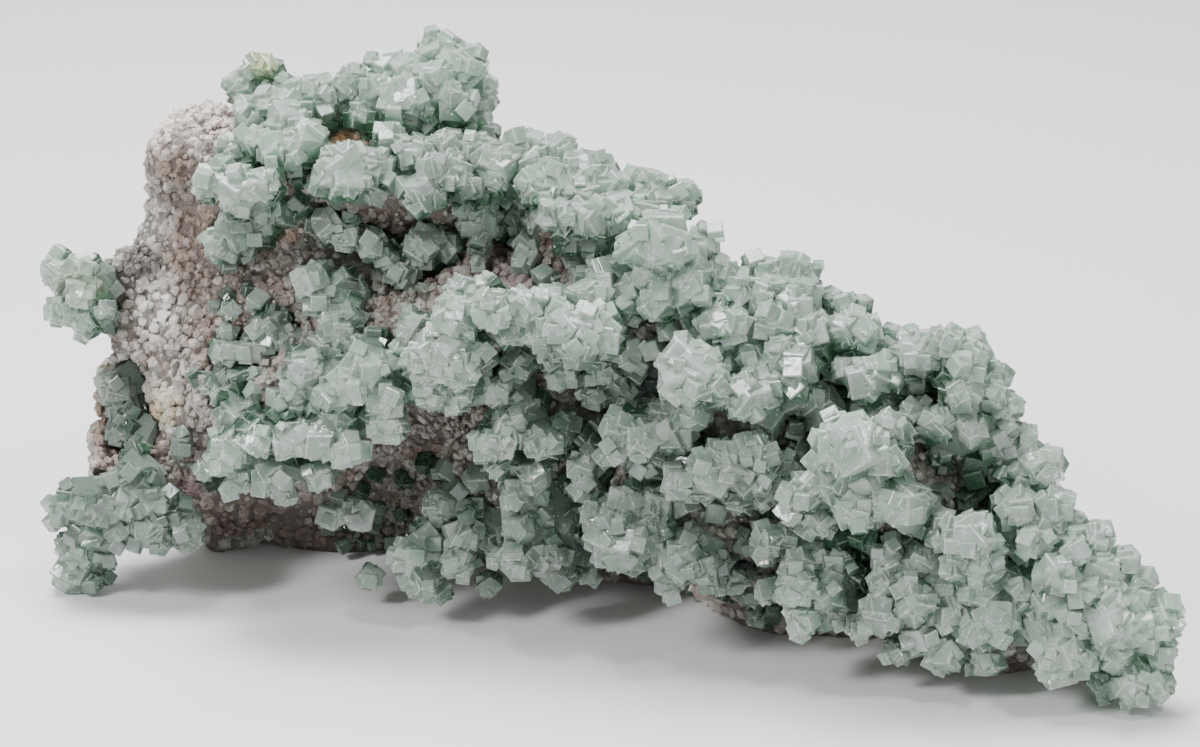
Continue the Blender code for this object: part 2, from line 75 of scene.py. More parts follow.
# The display view that the knobs are measured in, and the picture that it makes
VIEW_TILT = math.radians(20)
VIEW_DISTANCE = 480.0
VIEW_HEIGHT = 39.6
VIEW_RISE = 47.5
PICTURE_WIDTH = 1200
PICTURE_MIDDLE = (600, 373.5)
PIXELS_TO_MM = 7.0
CENTRE = Vector((-1.25, 11.15, 0))
SENSOR = 36.0
VIEW_BACK = (0, -math.cos(VIEW_TILT), math.sin(VIEW_TILT))
VIEW_UP = (0, math.sin(VIEW_TILT), math.cos(VIEW_TILT))
EYE = (Vector((0, 0, VIEW_HEIGHT)) - CENTRE + Vector(VIEW_BACK) * VIEW_DISTANCE) * MM

# The middle line of the body, which every knob is rooted towards: x, y, z
SPINE = [(-62, 32, 42), (-40, 32, 50), (-12, 28, 44), (12, 18, 34), (36, 6, 24), (58, -10, 13), (70, -16, 7)]

# How the main cube of a knob is sized, as in the solids
MAIN_CUBE_SHARE = 0.72
SIDE_CUBE_SHARE = 0.55
SIDE_CUBE_OFFSET = 0.28
TWO_CUBES_FROM = 6.0

# How far a main cube swells past the solid's, and the shares, turn and change of tint of the blocks on it
MAIN_SWELL = 1.03
BLOCK_SHARE = (0.4, 0.8)
BLOCK_PROUD = (1.03, 1.13)
BLOCK_TURN = 0.16
BLOCK_TINT = 0.2
BURIED_BLOCK = 0.6

# The other cubes of a rosette: their number by its size, their shares of it, and how far out they sit
FEWEST_SATELLITES = 0.6
SATELLITE_GROWTH = 12
SATELLITE_SHARE = (0.3, 0.64)
SATELLITE_REACH = (0.5, 0.58)
SATELLITE_SINK = 0.55
SATELLITE_TINT = 0.3
BURIED_WAY = 0.45

# The small crystals: those that fill a growth, and those alone on the rock
FILL_SIZE = (1.2, 2.4)
FIELD_SIZE = (0.75, 1.3)
SPRIG_PROUD = 0.22
SPRIG_SPREAD = 0.35
SPRIG_SHARE = (0.35, 0.6)
SPRIG_CLEAR = 0.42

# Up to this edge a cube isn't bevelled, and a face of less than this area on a cube one unit across is a rim
PLAIN_CUBE = 1.1 * MM
RIM_AREA = 0.3

# How cubes are sorted into layers: the search grid, and the reach of a cube's corners for its edge
GRID_CELL = 4 * MM
CORNER_REACH = 0.88

# How near the floor a crystal may come, and how far past the solids' box, as a share of it
CUT_PLANE = 0.15 * MM
BOX_SPARE = 0.012

# The marks on the meshes: how far out a point stands and how much it faces up, which gives painted shade in the
# gaps and painted light on the tips, how a patch fades, and which way painted rock faces
POINTS_AT_ONCE = 20000
PAINTED_LIGHT_FROM_ABOVE = 0.2
PAINTED_LIGHT_RANGE = (-0.45, 0.5)
PATCH_FADE = (0.55, 1.25)
PAINTED_FACING = (-0.25, 0.1)

# The rock: its longest edge, the foot that keeps flat, its waves (height, rate), the most that it swells, and
# its display side, which is where the quartz grew
ROCK_EDGE = 1.7 * MM
ROCK_FOOT = 0.6 * MM
ROCK_WAVES = [(0.6, 0.22), (0.4, 0.6), (0.25, 1.3)]
BREAK_WAVES = [(1, 0.11), (0.5, 0.3)]
MOST_SWELL = 0.25
DISPLAY_LEAN = 0.35
DISPLAY_TURN = 0.1
# The display side's tint of -1 sets the painted shadow between its grains
DISPLAY_TINT = -1.0
BROKEN_TINT = 0.35

# The quartz points: where none grow, how many the back leaves out, and how their size, lean and form vary
GRAIN_FOOT = 1.2 * MM
GRAIN_CLEAR = 2.5 * MM
BACK_LEFT_OUT = 0.8
GRAIN_SKEW = 1.6
GRAIN_LEAN = 0.55
GRAIN_ACROSS = (0.7, 1.2)
GRAIN_ALONG = (0.7, 1.3)
BACK_TINT = (0.1, 0.6)
GRAIN_SIDES = 6
GRAIN_ROOT, GRAIN_SHOULDER, GRAIN_TIP = -0.6, 0.35, 1.15

# The stage, in metres: the floor sweep, and the soft boxes with their widths and places
FLOOR_SIDE = 2.2
FLOOR_FRONT = -1.5
FLOOR_BACK = 0.55
WALL_TOP = 2.2
BEND = 0.35
BEND_STEPS = 16
LIT_POINT = (0, 0, 0.03)
SKY_COLOUR = (0.93, 0.95, 1.0, 1)
SOFTBOXES = [
    ("top_light", 0.4, (-0.08, 0.12, 0.7)), ("side_light", 0.16, (-0.5, -0.35, 0.5)),
    ("glint_light", 0.07, (0.3, -0.25, 0.6)), ("fill_light", 0.5, (0.35, -0.7, 0.35)),
]

# The growths' knobs: across and up the view, depth, size
KNOBS = {
    "ridge_crystals": [
        (-36.4, 76.3, 4, 7), (-39.3, 74.9, 5, 4.5), (-32.1, 77.3, 5, 5), (-29.7, 80.6, 8, 5),
        (-26.9, 79.1, 6, 5), (-24.3, 76.6, 4, 5), (-25.4, 73.4, 3, 5.5), (-22.1, 79.4, 7, 5),
        (-20.7, 76.3, 5, 5), (-17.9, 79.4, 8, 5.5), (-15.7, 78.3, 6, 5), (-11.4, 80.1, 8, 5),
        (-18.3, 74.4, 5, 4.2), (-14.6, 75.1, 5, 4.2), (-13.6, 77.3, 5, 5), (-9.3, 74.4, 2, 5),
        (-10, 78, 6, 5), (-6.3, 79.1, 7, 5.5), (-6.4, 75.1, 3, 5.5), (-3.6, 77.3, 5, 4.5), (0, 76.3, 5, 5),
        (-2.9, 73, 2, 5.5), (1.7, 73.7, 3, 5), (5, 73.7, 4, 5), (8.6, 73, 2, 5.5), (11.7, 73, 3, 4),
        (-1.4, 70.1, 0, 6), (-5.7, 70.1, 0, 5), (2.9, 70.6, 0, 5.5), (6.4, 70.6, 0, 5), (-4.3, 67.7, 1, 4),
        (-1.4, 66.6, 2, 4.5), (0.7, 64.4, 3, 4), (-17.1, 69.1, 10, 5.5), (-12.1, 69.7, 12, 4.2),
        (-9, 69.1, 9, 4), (-41.4, 60.9, 8, 5.2), (-40.3, 57.7, 7, 4.2), (-37.1, 60.1, 10, 4),
        (-35, 58.7, 11, 4), (-36.4, 55.4, 5, 4.5), (-37.4, 53.4, 3, 5.2), (-54, 50.6, 12, 4),
        (-54.6, 45.1, 10, 4.2), (-52.1, 41.6, 3, 4.5), (-50, 39.4, 0, 4.5), (-53.1, 36.6, -3, 5.8),
        (-49.3, 38, -4, 5.2), (-51.7, 32.3, -3, 4.2), (-47.4, 33, -4, 4.5), (-44.3, 38, -5, 5.2),
        (-40.7, 38, -6, 5.8), (-45.7, 31.6, -2, 4.2), (-40.3, 33, -3, 4.6), (-36.4, 36.9, -6, 5.2),
        (-41.4, 48, -1, 5.6), (-43.6, 45.1, -1, 4.2), (-38.6, 44.4, -3, 5), (-37.9, 40.9, -4, 4.6),
        (-33.6, 48.7, -4, 6.5), (-35.7, 45.9, -5, 5.2), (-30.7, 43.7, -5, 5.2), (-30.7, 40.1, -5, 5.2),
        (-26.4, 53.7, -3, 5.2), (-24.3, 50.1, -7, 6.2), (-21.7, 50.6, -8, 5.2), (-18.6, 49.4, -8, 5),
        (-24.3, 44.4, -5, 4.2), (-20.3, 44, -5, 4.4), (-25, 46.6, -6, 4.6), (-20, 47.3, -7, 4.6),
        (-19.3, 58.7, -3, 5.2), (-20.3, 55.9, -7, 5.8), (-15, 56.6, -9, 5.8), (-10.7, 57.3, -8, 5.4),
        (-12.9, 53.7, -7, 4.6), (-8.6, 53, -9, 4.6), (-7.1, 58, -6, 4.6), (-5, 54.4, -11, 6),
        (-1.4, 58, -8, 5.6), (0, 53.7, -12, 7), (-2.9, 50.9, -13, 5.2), (-6.4, 50.9, -9, 4.2),
        (-11.4, 49.4, -1, 5), (-5.7, 48, -2, 5), (8.6, 65.9, -8, 8.6), (4.3, 65.1, -6, 4.8),
        (14.3, 65.9, -5, 4.8), (7.1, 61.6, -8, 5.6), (12.9, 62.6, -7, 4.2), (0.3, 61.8, -3, 4.6),
        (3.6, 58.7, -7, 5.2), (8.6, 58, -10, 5.2), (12.9, 59.4, -10, 6.2), (17.1, 61.6, -6, 5),
        (16.4, 54.4, -12, 5), (18.6, 53.7, -13, 4.8), (20, 59.4, -8, 5), (23.6, 61.6, -5, 5.2),
        (28.6, 61.6, -6, 5.6), (24.3, 58, -9, 5.6), (28.6, 58, -10, 5.6), (25, 54.4, -12, 5.6),
        (30, 53.7, -12, 5.6), (35.4, 56.9, -8, 4), (37.9, 53, -12, 5), (34.3, 53.7, -12, 4.6),
        (26.4, 50.9, -14, 5), (28.6, 48.7, -16, 5.6), (21.4, 50.1, -12, 4.6), (24.3, 47.3, -14, 4.2),
        (41.4, 50.9, -11, 4), (38.6, 46.6, -16, 6.8), (42.9, 48, -14, 4.2), (31.4, 42.3, -12, 6),
        (40, 42.3, -15, 4.2), (12.9, 47.7, -18, 8.5), (15, 46.6, -20, 5.4), (20.7, 44.4, -18, 6),
        (23.6, 45.9, -16, 4.4), (35.7, 37.3, -27, 8.5), (32.9, 36.6, -26, 5), (41.4, 40.1, -24, 4.2),
        (40.7, 35.1, -26, 5.4), (34.3, 32.3, -24, 5), (30, 30.9, -22, 5.2), (37.9, 32.3, -25, 4.6),
        (36.4, 28, -26, 5.6), (43.6, 28.7, -27, 7), (31.4, 26.6, -20, 4.4), (45.7, 50.9, -17, 5.8),
        (49.3, 51.6, -18, 5.2), (53.1, 50.6, -18, 5.2), (52.1, 48, -20, 4.6), (56.4, 47.3, -17, 4.2),
        (52.1, 44.4, -21, 5.2), (55.7, 44.4, -20, 4.6), (57.9, 42, -19, 4.2), (47.9, 40.1, -20, 5.2),
        (45, 41.6, -18, 4.8), (52.9, 39.4, -21, 4.2), (57.1, 38, -19, 5), (60.7, 36.6, -19, 4.2),
        (48.6, 36.6, -17, 4.2), (63.6, 34, -21, 5.8), (60, 33.7, -20, 4.6), (64.3, 28, -24, 5.2),
        (60, 30.1, -21, 4.2), (59.3, 28, -25, 5.6), (67.1, 25.9, -24, 4.2), (62.1, 24.4, -26, 5.6),
        (70.7, 23.7, -26, 5.2), (67.9, 22.3, -28, 4.2), (65, 18.7, -29, 5.4), (72.1, 19.4, -28, 5.2),
        (75, 20.9, -27, 4), (77.1, 18, -27, 4.2), (69.3, 16.6, -29, 5), (74.3, 15.1, -29, 5.8),
        (80, 12.3, -28, 6), (72.9, 11.6, -31, 6.2), (77.1, 10.9, -30, 5), (68.6, 12.3, -29, 4.6),
        (64.3, 15.1, -28, 4.8), (62.9, 11.6, -27, 4.6), (65.7, 6.9, -29, 7.4), (73.6, 8, -30, 4.6),
        (80, 8, -28, 4.2), (75.7, 3, -29, 5.6), (78.6, 3, -29, 4.2), (72.1, 2.6, -26, 4),
        (52.9, 23.7, -28, 6.6), (50, 25.1, -27, 4.6), (55, 20.6, -28, 5), (51.4, 20.9, -27, 4.6),
        (41.7, 22, -22, 4.2), (45.7, 20.9, -23, 4.2), (54.3, 16.6, -26, 4.8), (40.7, 18, -23, 4.6),
        (45, 15.1, -26, 5.8), (40, 13, -25, 5.8), (45.7, 10.1, -25, 4.6), (50, 13.7, -25, 4.6),
        (49.3, 7.3, -25, 5.2), (56.4, 12.3, -27, 6.4), (55, 6.6, -24, 4.6), (48.6, 16.6, -24, 4.2),
        (52.9, 10.9, -26, 4.6), (60, 16.6, -26, 4), (37.1, 11.6, -21, 4), (42.9, 8, -22, 4),
        (28.6, 16.9, -21, 5.6), (32.6, 16.3, -21, 5.2), (29.3, 13, -20, 5.6), (33.3, 13.4, -19, 4.2),
        (28.6, 20.1, -19, 5), (33.6, 20.1, -18, 5), (24, 23, -17, 5), (26.4, 23.7, -16, 4.6),
        (-14.7, 45.1, -1, 4.6), (-12.9, 40.1, -3, 5), (-15.4, 38, -3, 5.2), (-13.6, 37.3, -4, 4.2),
        (-7.9, 38, -3, 5.2), (-5.7, 38.7, -1, 4.2), (-11.4, 43, 0, 4.6), (-2.1, 34.4, -2, 5.2),
        (-2.1, 31.6, -2, 4),
    ],
    "crown_crystals": [
        (-22.9, 93.4, 18, 6.3), (-19.7, 90.6, 15, 7), (-22.9, 89.1, 13, 6.3), (-17.1, 87.3, 18, 4.5),
        (-26.9, 90.1, 15, 5.7), (-30, 91.1, 17, 5), (-35.4, 88.6, 18, 5), (-32.1, 87.7, 15, 5.5),
        (-28.6, 86.9, 12, 6), (-33.6, 84.9, 14, 4), (-25, 86.1, 13, 4.5), (-20.7, 86.1, 12, 5.5),
        (-17.4, 84, 15, 4.5), (-24.5, 88, 22, 6), (-18.5, 88, 22, 6), (-31, 87.5, 22, 6),
        (-48.3, 90.9, 24, 5), (-51.4, 88.3, 22, 4), (-45, 88, 22, 4.5), (-41, 87.3, 20, 5),
        (-39.3, 85.9, 18, 4.5), (-42.9, 85.9, 17, 6), (-47.1, 85.9, 18, 5), (-50, 84.9, 18, 4.5),
        (-44.3, 83, 13, 6.5), (-42.1, 80.1, 9, 6), (-46.4, 79.7, 9, 5), (-49.3, 80.9, 12, 4),
        (-52.6, 79.4, 12, 4), (-55.4, 75.1, 9, 4.8), (-50.7, 73.7, 6, 6), (-48.3, 74.4, 5, 5),
        (-52.1, 72.3, 6, 4.2), (-51.4, 68.7, 14, 7), (-53.6, 65.9, 16, 6), (-47.9, 70.1, 14, 6),
    ],
    "lower_right_crystals": [
        (17.1, 34.4, -17, 7), (21.4, 36.6, -17, 5.2), (23.1, 35.1, -17, 4.6), (21.4, 32.3, -17, 5),
        (11.4, 32.3, -14, 5.6), (26.4, 34.4, -15, 4), (24.3, 30.9, -15, 4), (20, 29.4, -12, 4),
        (14.3, 30.9, -13, 4), (2.9, 39.4, -9, 5.2), (2.6, 36.6, -10, 4.6), (6.4, 38, -11, 5.6),
        (10.7, 38.7, -11, 5.6), (7.1, 35.1, -9, 4.2), (9.3, 41.6, -8, 4.6),
    ],
    "left_foot_crystals": [
        (-75, 18.7, 13, 6.2), (-72.1, 18, 13, 4.8), (-75, 22.6, 11, 5.6), (-71.4, 23, 11, 5.2),
        (-76.4, 28, 10, 4.6), (-73.6, 28, 8, 5.2), (-70.7, 28, 8, 4.8), (-67.1, 28.7, 8, 5.6),
        (-67.9, 32.3, 10, 5), (-64.3, 29.4, 8, 5), (-64.3, 25.1, 7, 5.6), (-59.3, 25.1, 8, 5),
        (-68.6, 25.1, 8, 4.6), (-72.9, 25.1, 9, 5),
    ],
    "lower_middle_crystals": [
        (2.9, 23.7, -14, 8), (0, 25.1, -12, 4.2), (3.6, 28.7, -11, 5.2), (7.9, 28.7, -10, 4.6),
        (7.1, 25.9, -12, 4.6), (-0.7, 27.3, -10, 4), (4.3, 20.9, -13, 4.2), (11.4, 20.9, -16, 5.8),
        (14.3, 20.1, -15, 4.6), (9.3, 20.9, -15, 4.2), (10, 18, -13, 4.6), (15.7, 18, -11, 4),
    ],
    "lower_left_crystals": [
        (-14.3, 34.4, 0, 4.2), (-9.3, 33, -1, 4.8), (-12.1, 30.9, -1, 4.6), (-8.6, 28, 1, 4.6),
        (-5, 26.6, 2, 4), (-11.4, 25.9, -2, 4.6), (-12.1, 20.9, -4, 5.6), (-7.9, 21.6, -3, 5.2),
        (-5.7, 18.7, -2, 4.6), (-2.1, 19.4, 1, 4),
    ],
    "shelf_crystals": [
        (-38.6, 68.7, 12, 5), (-35.7, 66.9, 11, 4.3), (-32.6, 65.9, 11, 4.3), (-25, 65.9, 10, 5.8),
        (-21.7, 65.4, 11, 4.2), (-27.9, 61.6, 11, 4.3),
    ],
    "low_left_crystals": [
        (-27.1, 21.6, 0, 5.2), (-25.7, 18, 0, 5.2), (-19.3, 24.4, 1, 5.2), (-20, 20.9, 0, 5.2),
        (-22.9, 28.7, 4, 4.6), (-15, 23.7, 2, 4),
    ],
    "left_knob_crystals": [
        (-77.1, 62, 22, 5.6), (-73.6, 62.3, 21, 4.8), (-76.4, 56.6, 22, 5), (-73.6, 59.4, 20, 5),
        (-73.1, 54.4, 20, 4),
    ],
    "left_cheek_crystals": [
        (-69.3, 45.9, 24, 5.6), (-68.6, 43, 24, 4.6), (-70.7, 38, 24, 4.2), (-67.9, 39.4, 22, 4.2),
        (-65, 36.6, 18, 4.2),
    ],
    "left_face_crystals": [
        (-49.7, 50.9, 10, 4.3), (-47.1, 53.7, 10, 5), (-44.6, 52.6, 10, 4.2),
    ],
    "hollow_crystals": [
        (0, 48, -3, 4.5), (-0.7, 44.4, 1, 4.2), (3.6, 45.9, 1, 5.6), (5.7, 43.7, 1, 4.2),
    ],
}

# Smaller rosettes, which only the looks have, by the growth that they sit on
SPRIGS = {
    "crown_crystals": [
        (-16, 81.9, 14, 3.5), (-24, 82.6, 12, 3.5), (-54, 77.3, 10, 3.5),
    ],
    "matrix": [
        (-31.7, 73, 8, 3.6), (-22.9, 69.7, 14, 3.6), (-5.7, 63.4, 15, 4), (-15, 63.4, 16, 3.6),
        (-9.3, 60.6, 15, 4), (-32.1, 53.7, 7, 3.8), (-47.4, 46.3, 9, 3.3), (-52.6, 56.6, 15, 3.2),
        (-56.4, 33.7, 2, 3.2), (27.1, 27.7, -21, 3.8), (24, 16.6, -14, 4), (18.6, 38, -10, 3.6),
        (19.3, 18, -9, 3.8), (-15.7, 17.7, 2, 3.8), (-34.3, 27.3, 5, 4.8), (-38.6, 27.3, 6, 4.2),
        (-32.9, 18.7, 8, 4), (-70.7, 56.6, 19, 3.2),
    ],
    "ridge_crystals": [
        (11.9, 71.1, 2, 3.5), (-56.4, 46.3, 11, 3.8), (-34.3, 36.6, -6, 3.8), (-28.6, 50.1, -4, 3.8),
        (-15.7, 60.1, -4, 3.6), (32.9, 58, -7, 3.6), (27.9, 45.4, -17, 3.8), (35, 48, -14, 3.8),
        (27.1, 30.1, -22, 3.8), (61.1, 39.1, -17, 3), (80, 5.9, -27, 3.6), (36.4, 18.7, -18, 3.8),
        (-10, 38, -3, 3.8),
    ],
    "shelf_crystals": [
        (-30.7, 64, 11, 3.6),
    ],
    "low_left_crystals": [
        (-22.9, 16.6, 1, 3.8),
    ],
}

# Colours that the listed patches are painted in
# Some of these colours are painted shade and painted light; the patch lists below say which
TINTS = {
    "pink white": (0.74, 0.63, 0.60), "brown": (0.22, 0.14, 0.10), "dark grey": (0.10, 0.095, 0.09),
    "white": (0.76, 0.745, 0.725), "cream": (0.66, 0.58, 0.43), "orange": (0.50, 0.24, 0.08),
    "dark brown": (0.085, 0.055, 0.042), "pink": (0.42, 0.26, 0.30), "purple brown": (0.16, 0.095, 0.10),
    "gap green": (0.07, 0.085, 0.06), "yellow green": (0.52, 0.58, 0.26), "deep green": (0.035, 0.075, 0.04),
    "grey": (0.34, 0.37, 0.36), "shade": (0.22, 0.26, 0.235), "frost": (0.78, 0.81, 0.78),
    "pale mint": (0.62, 0.74, 0.66), "dark": (0.045, 0.06, 0.05), "mauve": (0.40, 0.33, 0.36),
}

# Patches on the rock: middle across and down the picture, half width, half height, colour, strength
ROCK_SPOTS = [
    (185, 122, 60, 30, "pink white", 0.9), (172, 160, 25, 22, "brown", 0.7),
    (155, 225, 22, 24, "white", 0.5), (195, 235, 34, 70, "brown", 0.75),
    (185, 195, 24, 18, "dark grey", 0.85), (140, 262, 26, 20, "dark grey", 0.85),
    (195, 290, 14, 30, "dark grey", 0.7),
    (157, 310, 24, 32, "white", 0.85), (160, 408, 24, 24, "cream", 0.9), (158, 412, 8, 8, "orange", 0.8),
    (175, 460, 28, 24, "dark brown", 0.85), (187, 490, 14, 12, "pink", 0.8),
    # Painted shadow: this wide dark brown patch and the first one on the next line darken the hollow under the
    # upper ridge and the rock under the growths' lower edge
    (440, 250, 190, 55, "dark brown", 0.9),
    (330, 545, 190, 55, "dark brown", 0.92), (120, 420, 40, 60, "brown", 0.7), (250, 330, 70, 60, "brown", 0.6),
    (515, 275, 22, 16, "mauve", 0.7), (345, 140, 24, 12, "orange", 0.7), (555, 300, 20, 12, "orange", 0.7),
    (290, 230, 20, 14, "orange", 0.5), (775, 425, 18, 14, "orange", 0.6), (820, 530, 20, 14, "orange", 0.6),
    (590, 445, 14, 9, "pink white", 0.9), (732, 570, 12, 8, "pink white", 0.9),
    (1005, 583, 12, 8, "pink white", 0.9),
    (890, 590, 12, 8, "pink white", 0.9), (300, 330, 60, 30, "purple brown", 0.6),
    # Painted shade: the wide dark green-grey patches darken the rock in the deep gaps between the lower and
    # right-hand growths
    (700, 400, 170, 110, "gap green", 0.85), (900, 500, 200, 150, "gap green", 0.85),
    (560, 520, 240, 60, "gap green", 0.8),
]

# Fields of lone crystals between the growths: middle across and down, half width, half height, tries, size
SPRIG_FIELDS = [
    (520, 270, 75, 40, 34, 3.4), (250, 350, 60, 60, 26, 3.2), (330, 200, 60, 30, 16, 3.4),
    (700, 400, 130, 80, 130, 3.8), (900, 470, 150, 110, 170, 3.8), (620, 520, 150, 70, 110, 3.6),
    (440, 510, 120, 50, 70, 3.4), (1030, 560, 110, 90, 110, 3.8), (800, 570, 120, 60, 80, 3.6),
    (640, 330, 60, 40, 40, 3.6), (170, 470, 50, 30, 12, 3.2),
]

# Patches on the crystals, in the same form as those on the rock. The grey-green shade, the dark and the deep
# green patches are painted shade in hollows, under ledges and on the lower parts, and the pale mint patches are
# painted light on the lit tops and front edges.
CRYSTAL_SPOTS = [
    (262, 62, 16, 14, "yellow green", 0.7), (310, 375, 16, 14, "mauve", 0.5), (415, 330, 14, 12, "mauve", 0.4),
    (555, 570, 16, 12, "mauve", 0.5), (540, 220, 14, 12, "frost", 0.7), (845, 370, 14, 12, "frost", 0.7),
    (885, 425, 14, 12, "frost", 0.7), (1078, 553, 14, 12, "frost", 0.7), (1105, 618, 16, 14, "frost", 0.8),
    (415, 120, 16, 12, "frost", 0.5), (320, 472, 14, 12, "frost", 0.5), (285, 475, 14, 12, "frost", 0.5),
    (1135, 688, 16, 12, "frost", 0.5), (555, 262, 14, 12, "dark", 0.7), (360, 515, 14, 12, "dark", 0.7),
    (805, 418, 14, 12, "dark", 0.7), (852, 620, 14, 12, "dark", 0.7), (475, 110, 16, 12, "grey", 0.6),
    (1005, 447, 14, 12, "grey", 0.6), (252, 235, 38, 30, "deep green", 0.5),
    (490, 196, 50, 12, "deep green", 0.6),
    (540, 360, 80, 20, "deep green", 0.5), (928, 390, 24, 20, "deep green", 0.6),
    (948, 482, 42, 26, "deep green", 0.5), (600, 560, 220, 60, "shade", 0.5), (260, 520, 120, 50, "shade", 0.4),
    (640, 470, 160, 50, "shade", 0.3), (110, 400, 40, 60, "shade", 0.5),
    (1060, 610, 120, 80, "pale mint", 0.4), (560, 320, 80, 30, "pale mint", 0.45),
    (660, 250, 60, 30, "pale mint", 0.45), (430, 80, 60, 35, "pale mint", 0.4),
    (270, 130, 60, 30, "pale mint", 0.4),
    (850, 440, 50, 30, "pale mint", 0.45), (330, 380, 70, 30, "pale mint", 0.4),
    (125, 535, 95, 75, "shade", 0.85),
    (75, 285, 30, 25, "cream", 0.3),
]

# Growths that are cut up across X so that no piece is too large, and the reach of one that isn't
WHOLE = (None, -200, 200)
PIECES = {
    "ridge_crystals": [("left", -200, -2), ("middle", -2, 45), ("right", 45, 200)],
}


def seat(across, rise, depth):
    """The point at this depth that the display view shows at across and rise, in metres from the origin."""
    up = rise - VIEW_RISE
    level = VIEW_DISTANCE * math.cos(VIEW_TILT)
    reach = (depth + level) / (level + up * math.sin(VIEW_TILT))
    height = VIEW_HEIGHT + VIEW_DISTANCE * math.sin(VIEW_TILT) * (1 - reach) + reach * up * math.cos(VIEW_TILT)
    return (Vector((reach * across, depth, height)) - CENTRE) * MM


def inward(point):
    """The direction from a knob to the middle line of the body."""
    best = None
    for start, end in zip(SPINE, SPINE[1:]):
        a = (Vector(start) - CENTRE) * MM
        b = (Vector(end) - CENTRE) * MM
        share = min(1.0, max(0.0, (point - a).dot(b - a) / (b - a).length_squared))
        found = a.lerp(b, share)
        if best is None or (found - point).length < (best - point).length:
            best = found
    return (best - point).normalized()


class Cube:
    """One crystal: its centre, its turn, its edge length and its tint."""

    def __init__(self, centre, turn, edge, tint):
        self.centre = centre
        self.turn = turn
        self.edge = edge
        self.tint = tint


def random_axis(rng, spread=1):
    return Vector([rng.gauss(0, spread) for _ in range(3)])


def random_turn(rng):
    axis = random_axis(rng)
    return Quaternion(axis, rng.uniform(0, math.tau))


def slight_turn(rng, most):
    axis = random_axis(rng)
    return Quaternion(axis, rng.uniform(-most, most))


def random_way(rng, away_from):
    """A random direction that doesn't point at the knob's root."""
    while True:
        way = random_axis(rng).normalized()
        if way.dot(away_from) < BURIED_WAY:
            return way


def main_cubes(knob, rng):
    """The one or two large cubes that the solids have too: centre, turn and edge."""
    centre = seat(*knob[:3])
    size = knob[3] * MM
    found = [(centre, random_turn(rng), size * MAIN_CUBE_SHARE)]
    turn = random_turn(rng)
    aside = random_turn(rng) @ Vector((size * SIDE_CUBE_OFFSET, 0, 0))
    if knob[3] >= TWO_CUBES_FROM:
        found.append((centre + aside, turn, size * SIDE_CUBE_SHARE))
    return found


def rosette(knob, mains, rng, settings):
    """All the cubes of one knob: the main ones, near-parallel blocks on their corners, and some across them."""
    size = knob[3] * MM
    centre = seat(*knob[:3])
    root = inward(centre)
    tint = rng.uniform(0, 1)
    for place, turn, edge in mains:
        yield Cube(place, turn, edge * MAIN_SWELL, tint)
        for _ in range(settings.steps):
            block = edge * rng.uniform(*BLOCK_SHARE)
            proud = rng.uniform(*BLOCK_PROUD)
            corner = Vector([rng.choice((-1, 1, rng.uniform(-1, 1))) for _ in range(3)])
            way = turn @ (corner * (edge * proud - block) / 2)
            if way.normalized().dot(root) < BURIED_BLOCK:
                nearly = turn @ slight_turn(rng, BLOCK_TURN)
                yield Cube(place + way, nearly, block, tint + rng.uniform(-BLOCK_TINT, BLOCK_TINT))
    for _ in range(round(settings.satellites * (FEWEST_SATELLITES + knob[3] / SATELLITE_GROWTH))):
        edge = size * rng.uniform(*SATELLITE_SHARE)
        way = random_way(rng, root)
        reach = size * rng.uniform(*SATELLITE_REACH) - edge * SATELLITE_SINK
        turn = random_turn(rng)
        yield Cube(centre + way * reach, turn, edge, tint + rng.uniform(-SATELLITE_TINT, SATELLITE_TINT))


def surface_points(node, count, rng):
    """Random points on a solid's surface with their outward direction."""
    mesh = node.data
    mesh.calc_loop_triangles()
    corners = [[mesh.vertices[index].co for index in triangle.vertices] for triangle in mesh.loop_triangles]
    areas = [triangle.area for triangle in mesh.loop_triangles]
    picked = rng.choices(range(len(corners)), areas, k=count)
    for index in picked:
        a, b, c = corners[index]
        first, second = sorted((rng.random(), rng.random()))
        point = a * first + b * (second - first) + c * (1 - second)
        yield point, mesh.loop_triangles[index].normal.copy()


def cube_template(bevel):
    """Corners, faces and rim marks of a cube one unit across, with bevelled edges if asked. The rims carry a
    painted highlight.
    """
    bm = bmesh.new()
    bmesh.ops.create_cube(bm, size=1)
    if bevel:
        bmesh.ops.bevel(bm, geom=bm.edges[:], offset=bevel, segments=1, affect="EDGES")
    bm.verts.index_update()
    corners = np.array([vertex.co for vertex in bm.verts])
    faces = [[vertex.index for vertex in face.verts] for face in bm.faces]
    rims = [0.0 if face.calc_area() > RIM_AREA else 1.0 for face in bm.faces]
    bm.free()
    return corners, faces, rims


def marked_mesh(name, points, faces, marks):
    """A mesh with a value for each face under each mark's name."""
    mesh = bpy.data.meshes.new(name)
    mesh.from_pydata(np.concatenate(points), [], faces)
    for title, values in marks.items():
        mesh.attributes.new(title, "FLOAT", "FACE").data.foreach_set("value", values)
    return mesh


def cube_mesh(name, cubes, bevel_share):
    """One mesh of many cubes that don't touch each other."""
    templates = {True: cube_template(bevel_share), False: cube_template(0)}
    points, faces, rims, tints = [], [], [], []
    start = 0
    for cube in cubes:
        corners, sides, marks = templates[cube.edge > PLAIN_CUBE]
        points.append(corners @ np.array(cube.turn.to_matrix()).T * cube.edge + np.array(cube.centre))
        faces.extend([[index + start for index in side] for side in sides])
        rims.extend(marks)
        tints.extend([cube.tint] * len(sides))
        start += len(corners)
    return marked_mesh(name, points, faces, {"rim": rims, "tint": tints})


